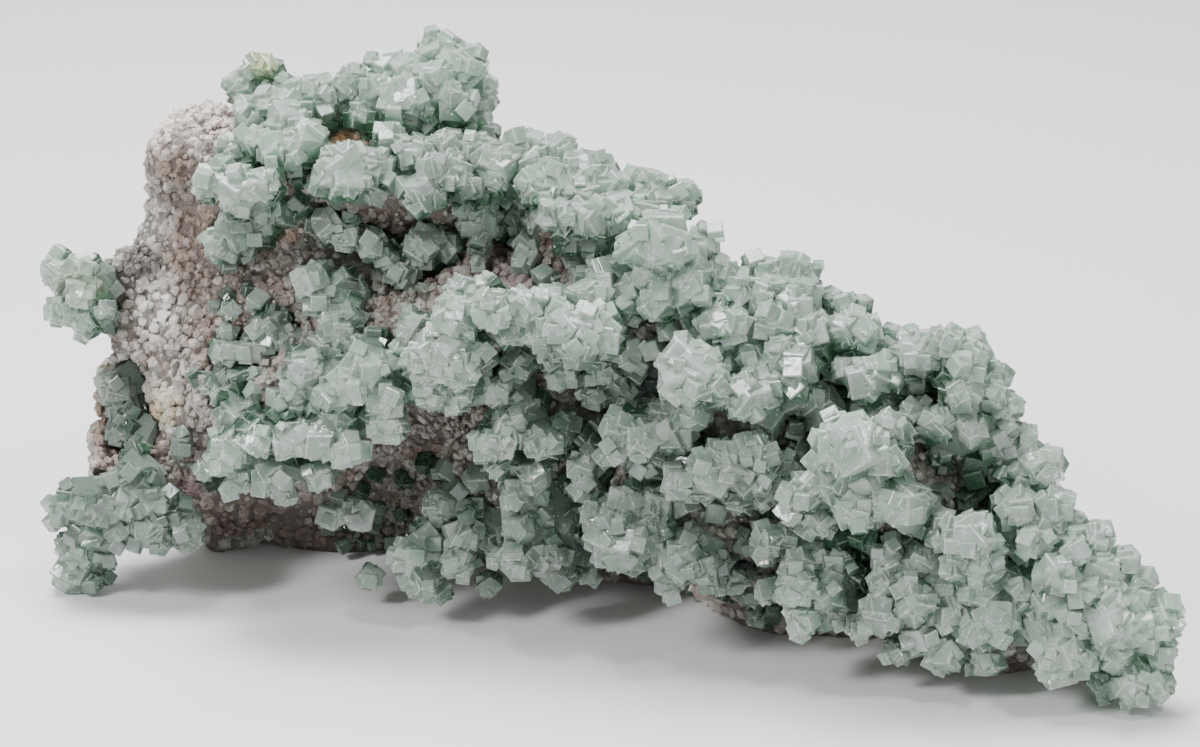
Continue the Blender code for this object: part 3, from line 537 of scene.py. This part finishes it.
def apart(cubes):
    """Sorts cubes into layers in which no two can touch."""
    layers = []
    grid = {}
    for cube in sorted(cubes, key=lambda cube: -cube.edge):
        radius = cube.edge * CORNER_REACH
        home = [math.floor(value / GRID_CELL) for value in cube.centre]
        span = 1 + math.ceil(radius / GRID_CELL)
        taken = set()
        for x in range(home[0] - span, home[0] + span + 1):
            for y in range(home[1] - span, home[1] + span + 1):
                for z in range(home[2] - span, home[2] + span + 1):
                    for centre, reach, layer in grid.get((x, y, z), ()):
                        if (centre - cube.centre).length < reach + radius:
                            taken.add(layer)
        layer = next(number for number in range(len(layers) + 1) if number not in taken)
        if layer == len(layers):
            layers.append([])
        layers[layer].append(cube)
        grid.setdefault(tuple(home), []).append((cube.centre, radius, layer))
    return layers


def evaluated_mesh(obj):
    bpy.context.view_layer.update()
    graph = bpy.context.evaluated_depsgraph_get()
    return bpy.data.meshes.new_from_object(obj.evaluated_get(graph))


def add_object(name, data):
    made = bpy.data.objects.new(name, data)
    bpy.context.scene.collection.objects.link(made)
    return made


def fuse(name, base, cubes, bevel_share):
    """Fuses cubes onto a base mesh as one skin with nothing left inside it."""
    piece = add_object(name, base)
    helpers = []
    for number, layer in enumerate(apart(cubes)):
        helper = add_object(f"{name} layer {number}", cube_mesh(f"{name} layer {number}", layer, bevel_share))
        helpers.append(helper)
        join = piece.modifiers.new(helper.name, "BOOLEAN")
        join.operation = "UNION"
        join.solver = "MANIFOLD"
        join.object = helper
    mesh = evaluated_mesh(piece)
    piece.modifiers.clear()
    piece.data = mesh
    for helper in helpers:
        bpy.data.objects.remove(helper)
    return piece


class Look:
    """A group of settings with its colours as plain tuples."""

    def __init__(self, group):
        for name, prop in group.bl_rna.properties.items():
            if name not in ("rna_type", "name"):
                value = getattr(group, name)
                setattr(self, name, tuple(value) if getattr(prop, "is_array", False) else value)


def weld(mesh):
    bm = bmesh.new()
    bm.from_mesh(mesh)
    bmesh.ops.remove_doubles(bm, verts=bm.verts[:], dist=1e-7)
    bm.to_mesh(mesh)
    bm.free()


def node_copy(node):
    """A solid's mesh as one welded skin, without its material."""
    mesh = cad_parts[node].data.copy()
    mesh.materials.clear()
    weld(mesh)
    return mesh


def between(mesh, low, high):
    """The closed part of a mesh that lies between two places along X, in millimetres."""
    piece = add_object("whole", mesh)
    bpy.ops.mesh.primitive_cube_add(size=1, location=((low + high) / 2 * MM, 0, 0))
    block = bpy.context.object
    block.scale = ((high - low) * MM, 1, 1)
    keep = piece.modifiers.new("keep", "BOOLEAN")
    keep.operation = "INTERSECT"
    keep.solver = "MANIFOLD"
    keep.object = block
    part = evaluated_mesh(piece)
    bpy.data.objects.remove(piece)
    bpy.data.objects.remove(block)
    return part


def rows_of(mesh, title):
    values = np.empty(len(mesh.vertices) * 3)
    mesh.vertices.foreach_get(title, values)
    return values.reshape(-1, 3)


def put(mesh, title, kind, values):
    mesh.attributes.new(title, kind, "POINT").data.foreach_set(
        "color" if kind == "FLOAT_COLOR" else "value", np.asarray(values, np.float32).ravel())


def smooth(values, low, high):
    share = np.clip((values - low) / (high - low), 0, 1)
    return share * share * (3 - 2 * share)


def display_view(points):
    """Where the display view shows points, in the pixels of the display picture."""
    back = np.array(VIEW_BACK)
    up = np.array(VIEW_UP)
    target = np.array((0, 0, VIEW_HEIGHT)) - np.array(CENTRE)
    away = points / MM - target - back * VIEW_DISTANCE
    deep = -away @ back
    scale = VIEW_DISTANCE / deep * PIXELS_TO_MM
    return PICTURE_MIDDLE[0] + away[:, 0] * scale, PICTURE_MIDDLE[1] - away @ up * scale


def wash(mesh, spots, facing_only=False):
    """Paints the listed colour patches as a colour with its strength."""
    points = rows_of(mesh, "co")
    across, down = display_view(points)
    colour = np.zeros((len(points), 3))
    strength = np.zeros(len(points))
    for x, y, width, height, name, most in spots:
        reach = np.sqrt(((across - x) / width) ** 2 + ((down - y) / height) ** 2)
        here = most * (1 - smooth(reach, *PATCH_FADE))
        total = np.maximum(strength + here, 1e-6)
        colour = (colour * strength[:, None] + np.array(TINTS[name]) * here[:, None]) / total[:, None]
        strength = np.maximum(strength, here)
    if facing_only:
        towards = rows_of(mesh, "normal") @ np.array(VIEW_BACK)
        strength = strength * smooth(towards, *PAINTED_FACING)
    put(mesh, "wash", "FLOAT_COLOR", np.column_stack((colour, strength)))


def mark_painted_light(mesh, knobs):
    """Marks how far each point stands out of its growth, from 0 in the gaps to 1 on the tips, raised where it
    faces up: the mask of the painted shade and painted light on the crystals.
    """
    points = rows_of(mesh, "co")
    centres = [seat(*knob[:3]) for knob in knobs]
    outs = np.array([-inward(centre) for centre in centres])
    centres = np.array(centres)
    sizes = np.array([knob[3] for knob in knobs]) * MM
    height = np.empty(len(points))
    for start in range(0, len(points), POINTS_AT_ONCE):
        some = points[start:start + POINTS_AT_ONCE]
        away = some[:, None, :] - centres[None]
        nearest = (np.linalg.norm(away, axis=2) / sizes).argmin(1)
        rows = np.arange(len(some))
        out = (away[rows, nearest] * outs[nearest]).sum(1)
        height[start:start + POINTS_AT_ONCE] = out / sizes[nearest]
    height = height + PAINTED_LIGHT_FROM_ABOVE * rows_of(mesh, "normal")[:, 2]
    put(mesh, "exposure", "FLOAT", smooth(height, *PAINTED_LIGHT_RANGE))


class Wire:
    """A shader value that can be used in sums."""

    def __init__(self, graph, socket):
        self.graph = graph
        self.socket = socket

    def __add__(self, other):
        return self.graph.maths("ADD", self, other)

    def __radd__(self, other):
        return self.graph.maths("ADD", other, self)

    def __sub__(self, other):
        return self.graph.maths("SUBTRACT", self, other)

    def __rsub__(self, other):
        return self.graph.maths("SUBTRACT", other, self)

    def __mul__(self, other):
        return self.graph.maths("MULTIPLY", self, other)

    def __rmul__(self, other):
        return self.graph.maths("MULTIPLY", other, self)


class Graph:
    """A material's nodes, made by short calls."""

    def __init__(self, name):
        self.material = bpy.data.materials.new(name)
        self.material.use_nodes = True
        self.tree = self.material.node_tree
        self.tree.nodes.clear()

    def node(self, kind, inputs=None, output=0, **options):
        made = self.tree.nodes.new(kind)
        for title, value in options.items():
            setattr(made, title, value)
        for title, value in (inputs or {}).items():
            self.feed(made.inputs[title], value)
        return Wire(self, made.outputs[output])

    def feed(self, socket, value):
        if isinstance(value, Wire):
            self.tree.links.new(value.socket, socket)
        else:
            socket.default_value = value

    def maths(self, operation, first, second, clamp=False):
        return self.node("ShaderNodeMath", {0: first, 1: second}, operation=operation, use_clamp=clamp)

    def attribute(self, title, output="Fac"):
        return self.node("ShaderNodeAttribute", output=output, attribute_name=title)

    def noise(self, scale, detail=2.0, roughness=0.5):
        return self.node("ShaderNodeTexNoise", {
            "Vector": self.place(), "Scale": scale, "Detail": detail, "Roughness": roughness})

    def place(self):
        return self.node("ShaderNodeTexCoord", output="Object")

    def ramp(self, value, low, high, start=0.0, end=1.0):
        return self.node("ShaderNodeMapRange", {
            "Value": value, "From Min": low, "From Max": high, "To Min": start, "To Max": end},
            interpolation_type="SMOOTHSTEP")

    def mix(self, share, first, second):
        """Two colours mixed. The node's colour sockets are numbers 6 and 7, and its colour output is 2."""
        return self.node("ShaderNodeMix", {0: share, 6: first, 7: second}, output=2, data_type="RGBA")

    def bump(self, height, distance, strength):
        return self.node("ShaderNodeBump", {"Height": height, "Distance": distance, "Strength": strength})

    def surface(self, shader, volume=None):
        output = self.tree.nodes.new("ShaderNodeOutputMaterial")
        self.feed(output.inputs["Surface"], shader)
        if volume:
            self.feed(output.inputs["Volume"], volume)
        return self.material


def fluorite_material(look):
    graph = Graph("green_fluorite")
    exposure = graph.attribute("exposure")
    tint = graph.attribute("tint")
    rim = graph.attribute("rim")
    patch = graph.attribute("wash", "Color")
    patch_share = graph.attribute("wash", "Alpha")
    clouds = graph.noise(260.0, 1.0)
    veils = graph.noise(950.0, 2.0, 0.65)
    # Painted shade and light: deep green in the gaps and on down-facing parts, middle half way out, pale on the
    # standing-out tips and tops
    height = graph.maths("ADD", exposure, (clouds - 0.5) * 0.7 + (tint - 0.5) * 0.45, clamp=True)
    green = graph.mix(graph.ramp(height, 0.12, 0.62), look.deep + (1,), look.middle + (1,))
    green = graph.mix(graph.ramp(height, 0.45, 0.95), green, look.pale + (1,))
    green = graph.mix(graph.ramp(tint, 0.32, 0.0, 0.0, 0.55), green, look.haze + (1,))
    # Frosted veils, only where the painted light mask is high, so they add to the painted light there
    veil = graph.ramp(veils, 0.48, 0.7) * graph.ramp(exposure, 0.15, 0.7)
    frost = graph.maths("ADD", veil, graph.ramp(tint, 0.8, 1.0, 0.0, 0.6), clamp=True)
    green = graph.mix(frost * look.frost, green, look.white + (1,))
    # Painted highlight: the bevelled rims whitened, more on the standing-out parts
    green = graph.mix(rim * graph.ramp(exposure, 0.1, 0.6, 0.1, 0.4), green, look.white + (1,))
    # The patches mix in here, painted shade and painted light among them
    colour = graph.mix(patch_share * graph.ramp(clouds, 0.3, 0.6, 0.5, 1.0), green, patch)
    roughness = graph.ramp(veils, 0.35, 0.75, look.smoothest, look.roughest) + rim * 0.1
    normal = graph.bump(veils, 0.00022, 0.35)
    principled = graph.node("ShaderNodeBsdfPrincipled", {
        "Base Color": colour, "Roughness": roughness, "IOR": look.ior, "Normal": normal,
        "Transmission Weight": look.clear, "Subsurface Weight": look.milk, "Subsurface Radius": (0.7, 1.0, 0.85),
        "Subsurface Scale": 0.002, "Specular IOR Level": 0.7})
    depth = graph.node("ShaderNodeVolumeAbsorption", {"Color": look.through + (1,), "Density": look.absorption})
    return graph.surface(principled, depth)


def druse_material(look):
    graph = Graph("quartz_druse")
    patch = graph.attribute("wash", "Color")
    patch_share = graph.attribute("wash", "Alpha")
    tint = graph.attribute("tint")
    broad = graph.noise(38.0, 3.0, 0.6)
    middle = graph.noise(190.0, 3.0, 0.65)
    fine = graph.noise(1100.0, 2.0, 0.6)
    colour = graph.mix(graph.ramp(broad, 0.4, 0.62), look.grey + (1,), look.cream + (1,))
    colour = graph.mix(graph.ramp(middle, 0.56, 0.72, 0.0, 0.75), colour, look.brown + (1,))
    colour = graph.mix(graph.ramp(fine, 0.5, 0.7, 0.0, 0.3), colour, look.white + (1,))
    colour = graph.mix(graph.ramp(tint, 0.6, 1.0, 0.0, 0.42), colour, look.white + (1,))
    colour = graph.mix(graph.ramp(tint, 0.3, 0.0, 0.0, 0.45), colour, look.brown + (1,))
    patch_share = patch_share * graph.ramp(middle, 0.25, 0.55, 0.7, 1.0) * graph.ramp(tint, 0.75, 1.0, 1.0, 0.6)
    # The patches mix in here, painted shadow and shade in the hollows among them
    colour = graph.mix(patch_share, colour, patch)
    vein = graph.ramp(graph.maths("ABSOLUTE", broad - 0.52, 0.0), 0.03, 0.0, 0.0, 0.6)
    colour = graph.mix(vein * graph.ramp(fine, 0.3, 0.6), colour, look.vein + (1,))
    # Painted shadow between the quartz grains, on the display-side rock that has tint -1
    grain_shadow = graph.ramp(tint, -0.5, -1.0, 0.0, 0.8) * graph.ramp(fine, 0.62, 0.42, 0.6, 1.0)
    colour = graph.mix(grain_shadow, colour, look.shadow + (1,))
    roughness = graph.ramp(fine, 0.3, 0.7, 0.28, 0.7)
    normal = graph.bump(fine, 0.0006, 0.8)
    principled = graph.node("ShaderNodeBsdfPrincipled", {
        "Base Color": colour, "Roughness": roughness, "IOR": 1.54, "Normal": normal})
    return graph.surface(principled)


def backdrop_material(look):
    graph = Graph("pale_backdrop")
    paper = graph.noise(9.0, 2.0)
    colour = graph.mix(graph.ramp(paper, 0.3, 0.7, 0.0, 0.12), look.floor + (1,), look.floor_shade + (1,))
    principled = graph.node("ShaderNodeBsdfPrincipled", {"Base Color": colour, "Roughness": 0.6})
    return graph.surface(principled)


def colour_property(name, value, description):
    return FloatVectorProperty(
        name=name, description=description, default=value, size=3, min=0, max=1, subtype="COLOR")


def share_property(name, value, description):
    return FloatProperty(name=name, description=description, default=value, min=0, max=1)


def length_property(name, value, description):
    return FloatProperty(
        name=name, description=description, default=value, min=0, subtype="DISTANCE", unit="LENGTH")


def power_property(name, value, description):
    return FloatProperty(name=name, description=description, default=value, min=0, unit="POWER")


class CrystalSettings(bpy.types.PropertyGroup):
    """How the rosettes of cubes are made."""
    satellites: IntProperty(
        name="Cubes to a rosette", description="Cubes in other directions round a main cube",
        default=5, min=0, max=30)
    steps: IntProperty(
        name="Steps to a cube", description="Near-parallel cubes grown on a main cube",
        default=5, min=0, max=12)
    bevel: FloatProperty(
        name="Edge", description="Width of the rounded edge, as a share of the cube",
        default=0.06, min=0.01, max=0.2)
    fill: FloatProperty(
        name="Fill", description="Small crystals on each square centimetre between rosettes", default=14, min=0)


class FluoriteSettings(bpy.types.PropertyGroup):
    """The colours and clearness of the fluorite."""
    # Deep is painted shade in the gaps, and pale is painted light on the tips
    deep: colour_property("Deep", (0.050, 0.120, 0.070), "Colour in the gaps")
    middle: colour_property("Middle", (0.225, 0.350, 0.264), "Colour half way out")
    pale: colour_property("Pale", (0.478, 0.602, 0.516), "Colour of the tips")
    haze: colour_property("Haze", (0.420, 0.490, 0.450), "Colour of the greyer rosettes")
    # White is the real frost and also the painted highlight on the edges
    white: colour_property("White", (0.880, 0.900, 0.870), "Colour of frost and edges")
    through: colour_property("Through", (0.50, 0.86, 0.62), "Colour that light takes inside")
    absorption: FloatProperty(name="Absorption", description="Density inside, per metre", default=130, min=0)
    ior: FloatProperty(name="IOR", description="Index of refraction", default=1.434, min=1, max=3)
    clear: share_property("Clear", 0.5, "Share of light that passes")
    milk: share_property("Milk", 0.15, "Share of light that scatters inside")
    frost: share_property("Frost", 0.55, "How white the frosted veils are")
    smoothest: share_property("Smoothest", 0.04, "Least roughness")
    roughest: share_property("Roughest", 0.32, "Most roughness")


class DruseSettings(bpy.types.PropertyGroup):
    """The quartz ground that the fluorite grew on."""
    grains: IntProperty(
        name="Grains", description="Quartz points tried on the rock", default=25000, min=0, max=40000)
    smallest: length_property("Smallest", 0.4 * MM, "Least grain radius")
    largest: length_property("Largest", 1.05 * MM, "Most grain radius")
    relief: length_property("Relief", 1.1 * MM, "Roughness of the rock")
    breaks: FloatProperty(
        name="Breaks", description="Depth of the broken back, to the relief", default=2.4, min=0)
    grey: colour_property("Grey", (0.260, 0.240, 0.220), "Rock in the shade of the druse")
    cream: colour_property("Cream", (0.423, 0.374, 0.338), "Main colour of the druse")
    brown: colour_property("Brown", (0.210, 0.130, 0.085), "Iron-stained rock")
    white: colour_property("White", (0.780, 0.750, 0.710), "Clean quartz")
    vein: colour_property("Vein", (0.300, 0.400, 0.330), "Green fluorite in the rock")
    # Painted shadow between the grains
    shadow: colour_property("Shadow", (0.075, 0.062, 0.055), "Dirt between grains")


class StageSettings(bpy.types.PropertyGroup):
    """The floor, light and view."""
    floor: colour_property("Floor", (0.800, 0.800, 0.795), "Colour of the floor")
    floor_shade: colour_property("Floor shade", (0.740, 0.740, 0.735), "Its second colour")
    top_light: power_property("Top light", 11, "Power of the soft box above")
    side_light: power_property("Side light", 4.5, "Power of the soft box at the left")
    glint_light: power_property("Glint light", 1.4, "Power of the small light that crystals catch")
    fill_light: power_property("Fill light", 1.6, "Power of the soft box in front")
    sky: FloatProperty(name="Sky", description="Strength of the even light", default=0.28, min=0)


class FLUORITE_OT_growth(bpy.types.Operator):
    """Dresses one growth of fluorite with its cubes"""
    bl_idname = "fluorite.growth"
    bl_label = "Fluorite growth"
    bl_options = {"REGISTER", "UNDO"}

    node: bpy.props.StringProperty(name="Growth", description="The solid that is dressed")

    def execute(self, context):
        scene = context.scene
        settings = scene.fluorite_crystals
        knobs = KNOBS[self.node]
        own = random.Random(self.node)
        mains = [main_cubes(knob, own) for knob in knobs]
        rng = random.Random(self.node + " looks")
        cubes = []
        for knob, found in zip(knobs, mains):
            cubes.extend(rosette(knob, found, rng, settings))
        for knob in SPRIGS.get(self.node, []):
            cubes.extend(rosette(knob, main_cubes(knob, rng), rng, settings))
        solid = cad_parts[self.node]
        area = sum(face.area for face in solid.data.polygons) * SQUARE_CM
        for point, normal in surface_points(solid, round(area * settings.fill), rng):
            cubes.append(Cube(point, random_turn(rng), rng.uniform(*FILL_SIZE) * MM, rng.random()))
        cubes = [cube for cube in cubes if fits(cube)]
        for title, low, high in PIECES.get(self.node, [WHOLE]):
            name = self.node.replace("crystals", "cubes") + (f"_{title}" if title else "")
            base = node_copy(self.node)
            if title:
                base = between(base, low, high)
            own_cubes = [cube for cube in cubes if low * MM <= cube.centre.x < high * MM]
            piece = fuse(name, base, own_cubes, settings.bevel)
            if len(piece.data.polygons) < 2 * len(own_cubes):
                raise RuntimeError(f"the cubes of {name} weren't fused")
            finish_crystals(piece, knobs)
            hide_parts(self.node)
            print(f"{name}: {len(own_cubes)} cubes, {triangles(piece)} triangles")
        return {"FINISHED"}


def triangles(piece):
    return sum(len(face.vertices) - 2 for face in piece.data.polygons)


def fits(cube):
    """Whether a cube stays above the floor and inside the solids' box."""
    rows = cube.turn.to_matrix()
    reach = Vector([cube.edge / 2 * sum(abs(value) for value in row) for row in rows])
    low, high = Vector(CAD_BOX[0]), Vector(CAD_BOX[1])
    spare = (high - low) * BOX_SPARE
    if (cube.centre - reach).z < CUT_PLANE:
        return False
    return all((cube.centre - reach)[axis] > (low - spare)[axis]
               and (cube.centre + reach)[axis] < (high + spare)[axis] for axis in range(3))


def finish_crystals(piece, knobs):
    mark_painted_light(piece.data, knobs)
    wash(piece.data, CRYSTAL_SPOTS)
    piece.data.materials.clear()
    piece.data.materials.append(bpy.data.materials["green_fluorite"])
    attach(piece, "root")


def solid_tree(nodes):
    """A search tree of some solids' faces."""
    points, faces = [], []
    for name in nodes:
        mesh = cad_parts[name].data
        faces.extend([[index + len(points) for index in face.vertices] for face in mesh.polygons])
        points.extend([vertex.co.copy() for vertex in mesh.vertices])
    return BVHTree.FromPolygons(points, faces)


def sight(x, y):
    """The direction from the eye through a point of the picture."""
    right = Vector(((x - PICTURE_MIDDLE[0]) / PIXELS_TO_MM, 0, 0))
    rise = Vector(VIEW_UP) * (PICTURE_MIDDLE[1] - y) / PIXELS_TO_MM
    return (right + rise - Vector(VIEW_BACK) * VIEW_DISTANCE).normalized()


class FLUORITE_OT_sprigs(bpy.types.Operator):
    """Adds the small lone crystals that sit on the druse"""
    bl_idname = "fluorite.sprigs"
    bl_label = "Lone crystals"
    bl_options = {"REGISTER", "UNDO"}

    def execute(self, context):
        settings = context.scene.fluorite_crystals
        rng = random.Random("sprigs")
        cubes = []
        centres = []
        for knob in SPRIGS["matrix"]:
            cubes.extend(rosette(knob, main_cubes(knob, rng), rng, settings))
            centres.append((seat(*knob[:3]), knob[3] * MM))
        for centre, normal, size in self.gaps(rng):
            if all((centre - other).length > (size + reach) * SPRIG_CLEAR for other, reach in centres):
                centres.append((centre, size))
                cubes.extend(self.sprig(centre, normal, size, rng))
        layers = apart([cube for cube in cubes if fits(cube)])
        rest = [cube for layer in layers[1:] for cube in layer]
        piece = fuse("lone_crystals", cube_mesh("first layer", layers[0], settings.bevel), rest, settings.bevel)
        finish_crystals(piece, SPRIGS["matrix"])
        return {"FINISHED"}

    def gaps(self, rng):
        """Places on the rock that show between the growths."""
        rock = solid_tree(["matrix"])
        growths = solid_tree(list(KNOBS))
        for x, y, width, height, count, size in SPRIG_FIELDS:
            for _ in range(count):
                turn, reach = rng.uniform(0, math.tau), math.sqrt(rng.random())
                way = sight(x + width * reach * math.cos(turn), y + height * reach * math.sin(turn))
                place, normal, _, far = rock.ray_cast(EYE, way)
                grown = growths.ray_cast(EYE, way)
                if place and (grown[0] is None or grown[3] > far):
                    yield place, normal, size * rng.uniform(*FIELD_SIZE) * MM

    def sprig(self, centre, normal, size, rng):
        tint = rng.random()
        place = centre + normal * size * SPRIG_PROUD
        yield Cube(place, random_turn(rng), size * MAIN_CUBE_SHARE, tint)
        for _ in range(rng.choice((1, 2, 3))):
            edge = size * rng.uniform(*SPRIG_SHARE)
            yield Cube(place + random_way(rng, -normal) * size * SPRIG_SPREAD, random_turn(rng), edge, tint)


def on_display_side(normal):
    """Whether part of the rock looks forwards or up, where the quartz grew; the rest is a broken face."""
    return normal.y < DISPLAY_LEAN * normal.z + DISPLAY_TURN


def waves(near, table, shape=float):
    """The sum of some noises at a point, each made by its height and rate."""
    return sum(most * shape(noise.noise(near * rate)) for most, rate in table)


def rock_mesh(settings):
    """The matrix with a fine relief, which never swells into the crystals."""
    mesh = node_copy("matrix")
    bm = bmesh.new()
    bm.from_mesh(mesh)
    for _ in range(3):
        long_edges = [edge for edge in bm.edges if edge.calc_length() > ROCK_EDGE]
        bmesh.ops.subdivide_edges(bm, edges=long_edges, cuts=1, use_grid_fill=True)
        bmesh.ops.triangulate(bm, faces=bm.faces[:])
    bm.normal_update()
    moves = []
    for vertex in bm.verts:
        if vertex.co.z < ROCK_FOOT:
            continue
        near = vertex.co / MM
        height = min(waves(near, ROCK_WAVES), MOST_SWELL)
        if not on_display_side(vertex.normal):
            height -= settings.breaks * waves(near, BREAK_WAVES, abs)
        moves.append((vertex, vertex.normal * (height * settings.relief)))
    for vertex, move in moves:
        vertex.co += move
    bm.to_mesh(mesh)
    bm.free()
    return mesh


def grain_template():
    """A short six-sided quartz point one unit across the radius."""
    count = GRAIN_SIDES
    ring = [(math.cos(turn * math.tau / count), math.sin(turn * math.tau / count)) for turn in range(count)]
    corners = [(x, y, height) for height in (GRAIN_ROOT, GRAIN_SHOULDER) for x, y in ring] + [(0, 0, GRAIN_TIP)]
    after = [(turn + 1) % count for turn in range(count)]
    faces = [[turn, after[turn], after[turn] + count, turn + count] for turn in range(count)]
    faces += [[turn + count, after[turn] + count, 2 * count] for turn in range(count)]
    return np.array(corners), faces + [list(reversed(range(count)))]


class FLUORITE_OT_druse(bpy.types.Operator):
    """Makes the rock and its quartz grains"""
    bl_idname = "fluorite.druse"
    bl_label = "Quartz druse"
    bl_options = {"REGISTER", "UNDO"}

    def execute(self, context):
        settings = context.scene.fluorite_druse
        rock = add_object("matrix_rock", rock_mesh(settings))
        rock.data.materials.append(bpy.data.materials["quartz_druse"])
        put(rock.data, "tint", "FLOAT", [
            DISPLAY_TINT if on_display_side(vertex.normal) else BROKEN_TINT for vertex in rock.data.vertices])
        wash(rock.data, ROCK_SPOTS, facing_only=True)
        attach(rock, "root")
        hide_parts("matrix")
        for name, mesh in self.grains(settings).items():
            grains = add_object(name, mesh)
            grains.data.materials.append(bpy.data.materials["quartz_druse"])
            wash(grains.data, ROCK_SPOTS, facing_only=True)
            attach(grains, "root")
        return {"FINISHED"}

    def grains(self, settings):
        """Quartz points over the rock, closer together on its display side."""
        rng = random.Random("grains")
        growths = solid_tree(list(KNOBS))
        corners, sides = grain_template()
        parts = {"quartz_grains_front": ([], [], []), "quartz_grains_back": ([], [], [])}
        for point, normal in surface_points(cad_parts["matrix"], settings.grains, rng):
            front = on_display_side(normal)
            if point.z < GRAIN_FOOT or growths.ray_cast(point, normal, GRAIN_CLEAR)[0]:
                continue
            if not front and rng.random() < BACK_LEFT_OUT:
                continue
            size = rng.uniform(0, 1) ** GRAIN_SKEW * (settings.largest - settings.smallest) + settings.smallest
            lean = random_axis(rng, GRAIN_LEAN)
            turn = (normal + lean).to_track_quat("Z", "Y") @ Quaternion((0, 0, 1), rng.uniform(0, math.tau))
            shape = corners * [size * rng.uniform(*span) for span in (GRAIN_ACROSS, GRAIN_ACROSS, GRAIN_ALONG)]
            points, faces, tints = parts["quartz_grains_front" if front else "quartz_grains_back"]
            start = len(corners) * len(points)
            points.append(shape @ np.array(turn.to_matrix()).T + np.array(point))
            faces.extend([[index + start for index in side] for side in sides])
            tints.extend([rng.random() if front else rng.uniform(*BACK_TINT)] * len(sides))
        return {name: marked_mesh(name, points, faces, {"tint": tints})
                for name, (points, faces, tints) in parts.items()}


class FLUORITE_OT_stage(bpy.types.Operator):
    """Sets up the pale floor, the soft light and the camera"""
    bl_idname = "fluorite.stage"
    bl_label = "Stage"
    bl_options = {"REGISTER", "UNDO"}

    def execute(self, context):
        settings = context.scene.fluorite_stage
        self.sweep()
        for name, width, place in SOFTBOXES:
            self.softbox(name, getattr(settings, name), width, place)
        world = bpy.data.worlds.new("even_light")
        world.use_nodes = True
        world.node_tree.nodes["Background"].inputs["Color"].default_value = SKY_COLOUR
        world.node_tree.nodes["Background"].inputs["Strength"].default_value = settings.sky
        context.scene.world = world
        self.camera(context.scene)
        return {"FINISHED"}

    def sweep(self):
        """A floor that curves up into a wall."""
        line = [(FLOOR_FRONT, 0.0)]
        for step in range(BEND_STEPS + 1):
            turn = math.radians(90 * step / BEND_STEPS)
            line.append((FLOOR_BACK + BEND * math.sin(turn), BEND - BEND * math.cos(turn)))
        line.append((FLOOR_BACK + BEND, WALL_TOP))
        points = [(x, y, z) for x in (-FLOOR_SIDE, FLOOR_SIDE) for y, z in line]
        count = len(line)
        faces = [[index, index + count, index + count + 1, index + 1] for index in range(count - 1)]
        mesh = bpy.data.meshes.new("floor_sweep")
        mesh.from_pydata(points, [], faces)
        mesh.shade_smooth()
        floor = add_object("floor_sweep", mesh)
        mesh.materials.append(bpy.data.materials["pale_backdrop"])

    def softbox(self, name, power, width, place):
        light = bpy.data.lights.new(name, "AREA")
        light.shape = "SQUARE"
        light.size = width
        light.energy = power
        lamp = add_object(name, light)
        lamp.location = place
        lamp.rotation_euler = (Vector(LIT_POINT) - Vector(place)).to_track_quat("-Z", "Y").to_euler()

    def camera(self, scene):
        data = bpy.data.cameras.new("display_view")
        data.sensor_fit = "HORIZONTAL"
        data.sensor_width = SENSOR
        data.lens = SENSOR * VIEW_DISTANCE / (PICTURE_WIDTH / PIXELS_TO_MM)
        data.clip_start = 0.01
        camera = add_object("display_view", data)
        camera.location = EYE
        camera.rotation_euler = (math.pi / 2 - VIEW_TILT, 0, 0)
        scene.camera = camera


class FLUORITE_PT_panel(bpy.types.Panel):
    """The settings of the fluorite cluster"""
    bl_idname = "FLUORITE_PT_panel"
    bl_label = "Fluorite cluster"
    bl_space_type = "VIEW_3D"
    bl_region_type = "UI"
    bl_category = "Fluorite"

    def draw(self, context):
        for title in SETTINGS:
            group = getattr(context.scene, title)
            box = self.layout.box()
            box.label(text=title.replace("_", " ").capitalize())
            for name in group.bl_rna.properties.keys():
                if name not in ("rna_type", "name"):
                    box.prop(group, name)
        for name in KNOBS:
            self.layout.operator("fluorite.growth", text=name).node = name
        self.layout.operator("fluorite.sprigs")
        self.layout.operator("fluorite.druse")
        self.layout.operator("fluorite.stage")


SETTINGS = {
    "fluorite_crystals": CrystalSettings,
    "fluorite_look": FluoriteSettings,
    "fluorite_druse": DruseSettings,
    "fluorite_stage": StageSettings,
}
CLASSES = (FLUORITE_OT_growth, FLUORITE_OT_sprigs, FLUORITE_OT_druse, FLUORITE_OT_stage, FLUORITE_PT_panel)


def register():
    for title, group in SETTINGS.items():
        bpy.utils.register_class(group)
        setattr(bpy.types.Scene, title, PointerProperty(type=group))
    for made in CLASSES:
        bpy.utils.register_class(made)


def unregister():
    for made in reversed(CLASSES):
        bpy.utils.unregister_class(made)
    for title, group in SETTINGS.items():
        delattr(bpy.types.Scene, title)
        bpy.utils.unregister_class(group)


def main():
    register()
    scene = bpy.context.scene
    fluorite_material(Look(scene.fluorite_look))
    druse_material(Look(scene.fluorite_druse))
    backdrop_material(Look(scene.fluorite_stage))
    for node in KNOBS:
        bpy.ops.fluorite.growth(node=node)
    bpy.ops.fluorite.sprigs()
    bpy.ops.fluorite.druse()
    bpy.ops.fluorite.stage()


if __name__ == "__main__":
    main()
